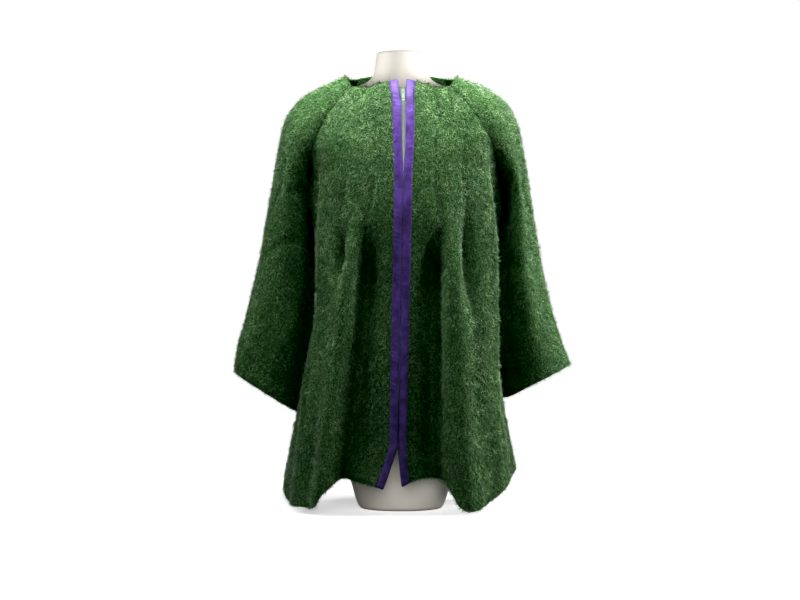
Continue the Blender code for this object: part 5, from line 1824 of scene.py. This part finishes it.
def build_studio(material):
    """Round floor that curves up into a background on every side."""
    turns = np.linspace(0, math.pi / 2, SWEEP_STEPS)
    reach = np.array([STUDIO_CENTRE, STUDIO_RADIUS / 2,
                      *(STUDIO_RADIUS - SWEEP + SWEEP * np.sin(turns)), STUDIO_RADIUS])
    rise = np.array([0.0, 0.0, *(SWEEP - SWEEP * np.cos(turns)), STUDIO_HEIGHT])
    round_turns = np.linspace(0, 2 * math.pi, STUDIO_SIDES, endpoint=False)
    ring = np.stack([np.cos(round_turns), np.sin(round_turns), np.zeros(STUDIO_SIDES)], axis=1)
    points = ring[None] * reach[:, None, None] + np.array((0.0, 0.0, 1.0)) * rise[:, None, None]
    floor = new_object("studio_floor", points.reshape(-1, 3), ring_faces(len(reach), STUDIO_SIDES), material)
    floor.visible_diffuse = False
    floor.visible_shadow = False


def add_light(name, lamp, power, onto=()):
    """Large soft light at a place, turned to a target, on everything or on named pieces alone."""
    source = bpy.data.lights.new(name, "AREA")
    source.shape = "RECTANGLE"
    source.size, source.size_y = lamp.size
    source.energy = power
    light = bpy.data.objects.new(name, source)
    light.location = lamp.place
    aim = Vector(lamp.target) - Vector(lamp.place)
    light.rotation_euler = aim.to_track_quat("-Z", "Y").to_euler()
    bpy.context.scene.collection.objects.link(light)
    if onto:
        light.light_linking.receiver_collection = bpy.data.collections.new(name)
        for piece in onto:
            light.light_linking.receiver_collection.objects.link(bpy.data.objects[piece])


class JACKET_OT_stage(bpy.types.Operator):
    """Pale floor, soft studio light and the camera"""

    bl_idname = "jacket.stage"
    bl_label = "Stage"

    def execute(self, context):
        stage = context.scene.jacket_stage
        build_studio(floor_material(stage))
        clothes = [piece.name for piece in bpy.data.objects
                   if piece.type == "MESH" and piece.name not in PALE_PIECES]
        add_light("key light", KEY_LAMP, stage.key_power, clothes)
        add_light("right light", RIGHT_LAMP, stage.right_power)
        add_light("left light", LEFT_LAMP, stage.left_power)
        add_light("base light", BASE_LAMP, stage.base_power, PALE_PIECES)
        add_light("back light", BACK_LAMP, stage.back_power, clothes)
        world = bpy.data.worlds.new("studio")
        world.use_nodes = True
        ground = world.node_tree.nodes["Background"]
        ground.inputs["Color"].default_value = (1.0, 1.0, 1.0, 1.0)
        ground.inputs["Strength"].default_value = stage.surround
        context.scene.world = world
        picture = context.scene.view_settings
        picture.view_transform = "Standard"
        picture.gamma = stage.tone
        picture.use_curve_mapping = True
        picture.curve_mapping.black_level = stage.black_level
        camera = bpy.data.objects.new("camera", bpy.data.cameras.new("camera"))
        camera.location = CAMERA_PLACE
        camera.rotation_euler = (math.pi / 2, 0.0, 0.0)
        camera.data.lens = stage.lens
        camera.data.sensor_width = CAMERA_SENSOR
        camera.data.shift_x = -1.0 / PICTURE_WIDTH
        context.scene.collection.objects.link(camera)
        context.scene.camera = camera
        return {"FINISHED"}


class JACKET_PT_panel(bpy.types.Panel):
    """Builds the jacket piece by piece"""

    bl_label = "Mohair Jacket"
    bl_idname = "JACKET_PT_panel"
    bl_space_type = "VIEW_3D"
    bl_region_type = "UI"
    bl_category = "Jacket"

    def draw(self, context):
        for group in (context.scene.jacket_cloth, context.scene.jacket_trim, context.scene.jacket_stage):
            box = self.layout.box()
            for name in group.__annotations__:
                box.prop(group, name)
        for operator in OPERATORS:
            self.layout.operator(operator.bl_idname)


GROUPS = {"jacket_cloth": JacketCloth, "jacket_trim": JacketTrim, "jacket_stage": JacketStage}
OPERATORS = (JACKET_OT_fronts, JACKET_OT_back, JACKET_OT_sleeves, JACKET_OT_bindings, JACKET_OT_zip,
             JACKET_OT_form, JACKET_OT_stage)


def register():
    """Add the settings, operators and panel to Blender."""
    for name, group in GROUPS.items():
        bpy.utils.register_class(group)
        setattr(bpy.types.Scene, name, PointerProperty(type=group))
    for item in (*OPERATORS, JACKET_PT_panel):
        bpy.utils.register_class(item)


def unregister():
    """Take the settings, operators and panel out of Blender."""
    for item in (JACKET_PT_panel, *reversed(OPERATORS)):
        bpy.utils.unregister_class(item)
    for name, group in GROUPS.items():
        delattr(bpy.types.Scene, name)
        bpy.utils.unregister_class(group)


def main():
    """Build every piece in order."""
    register()
    bpy.ops.jacket.fronts()
    bpy.ops.jacket.back()
    bpy.ops.jacket.sleeves()
    bpy.ops.jacket.bindings()
    bpy.ops.jacket.zip()
    bpy.ops.jacket.form()
    bpy.ops.jacket.stage()


if __name__ == "__main__":
    main()
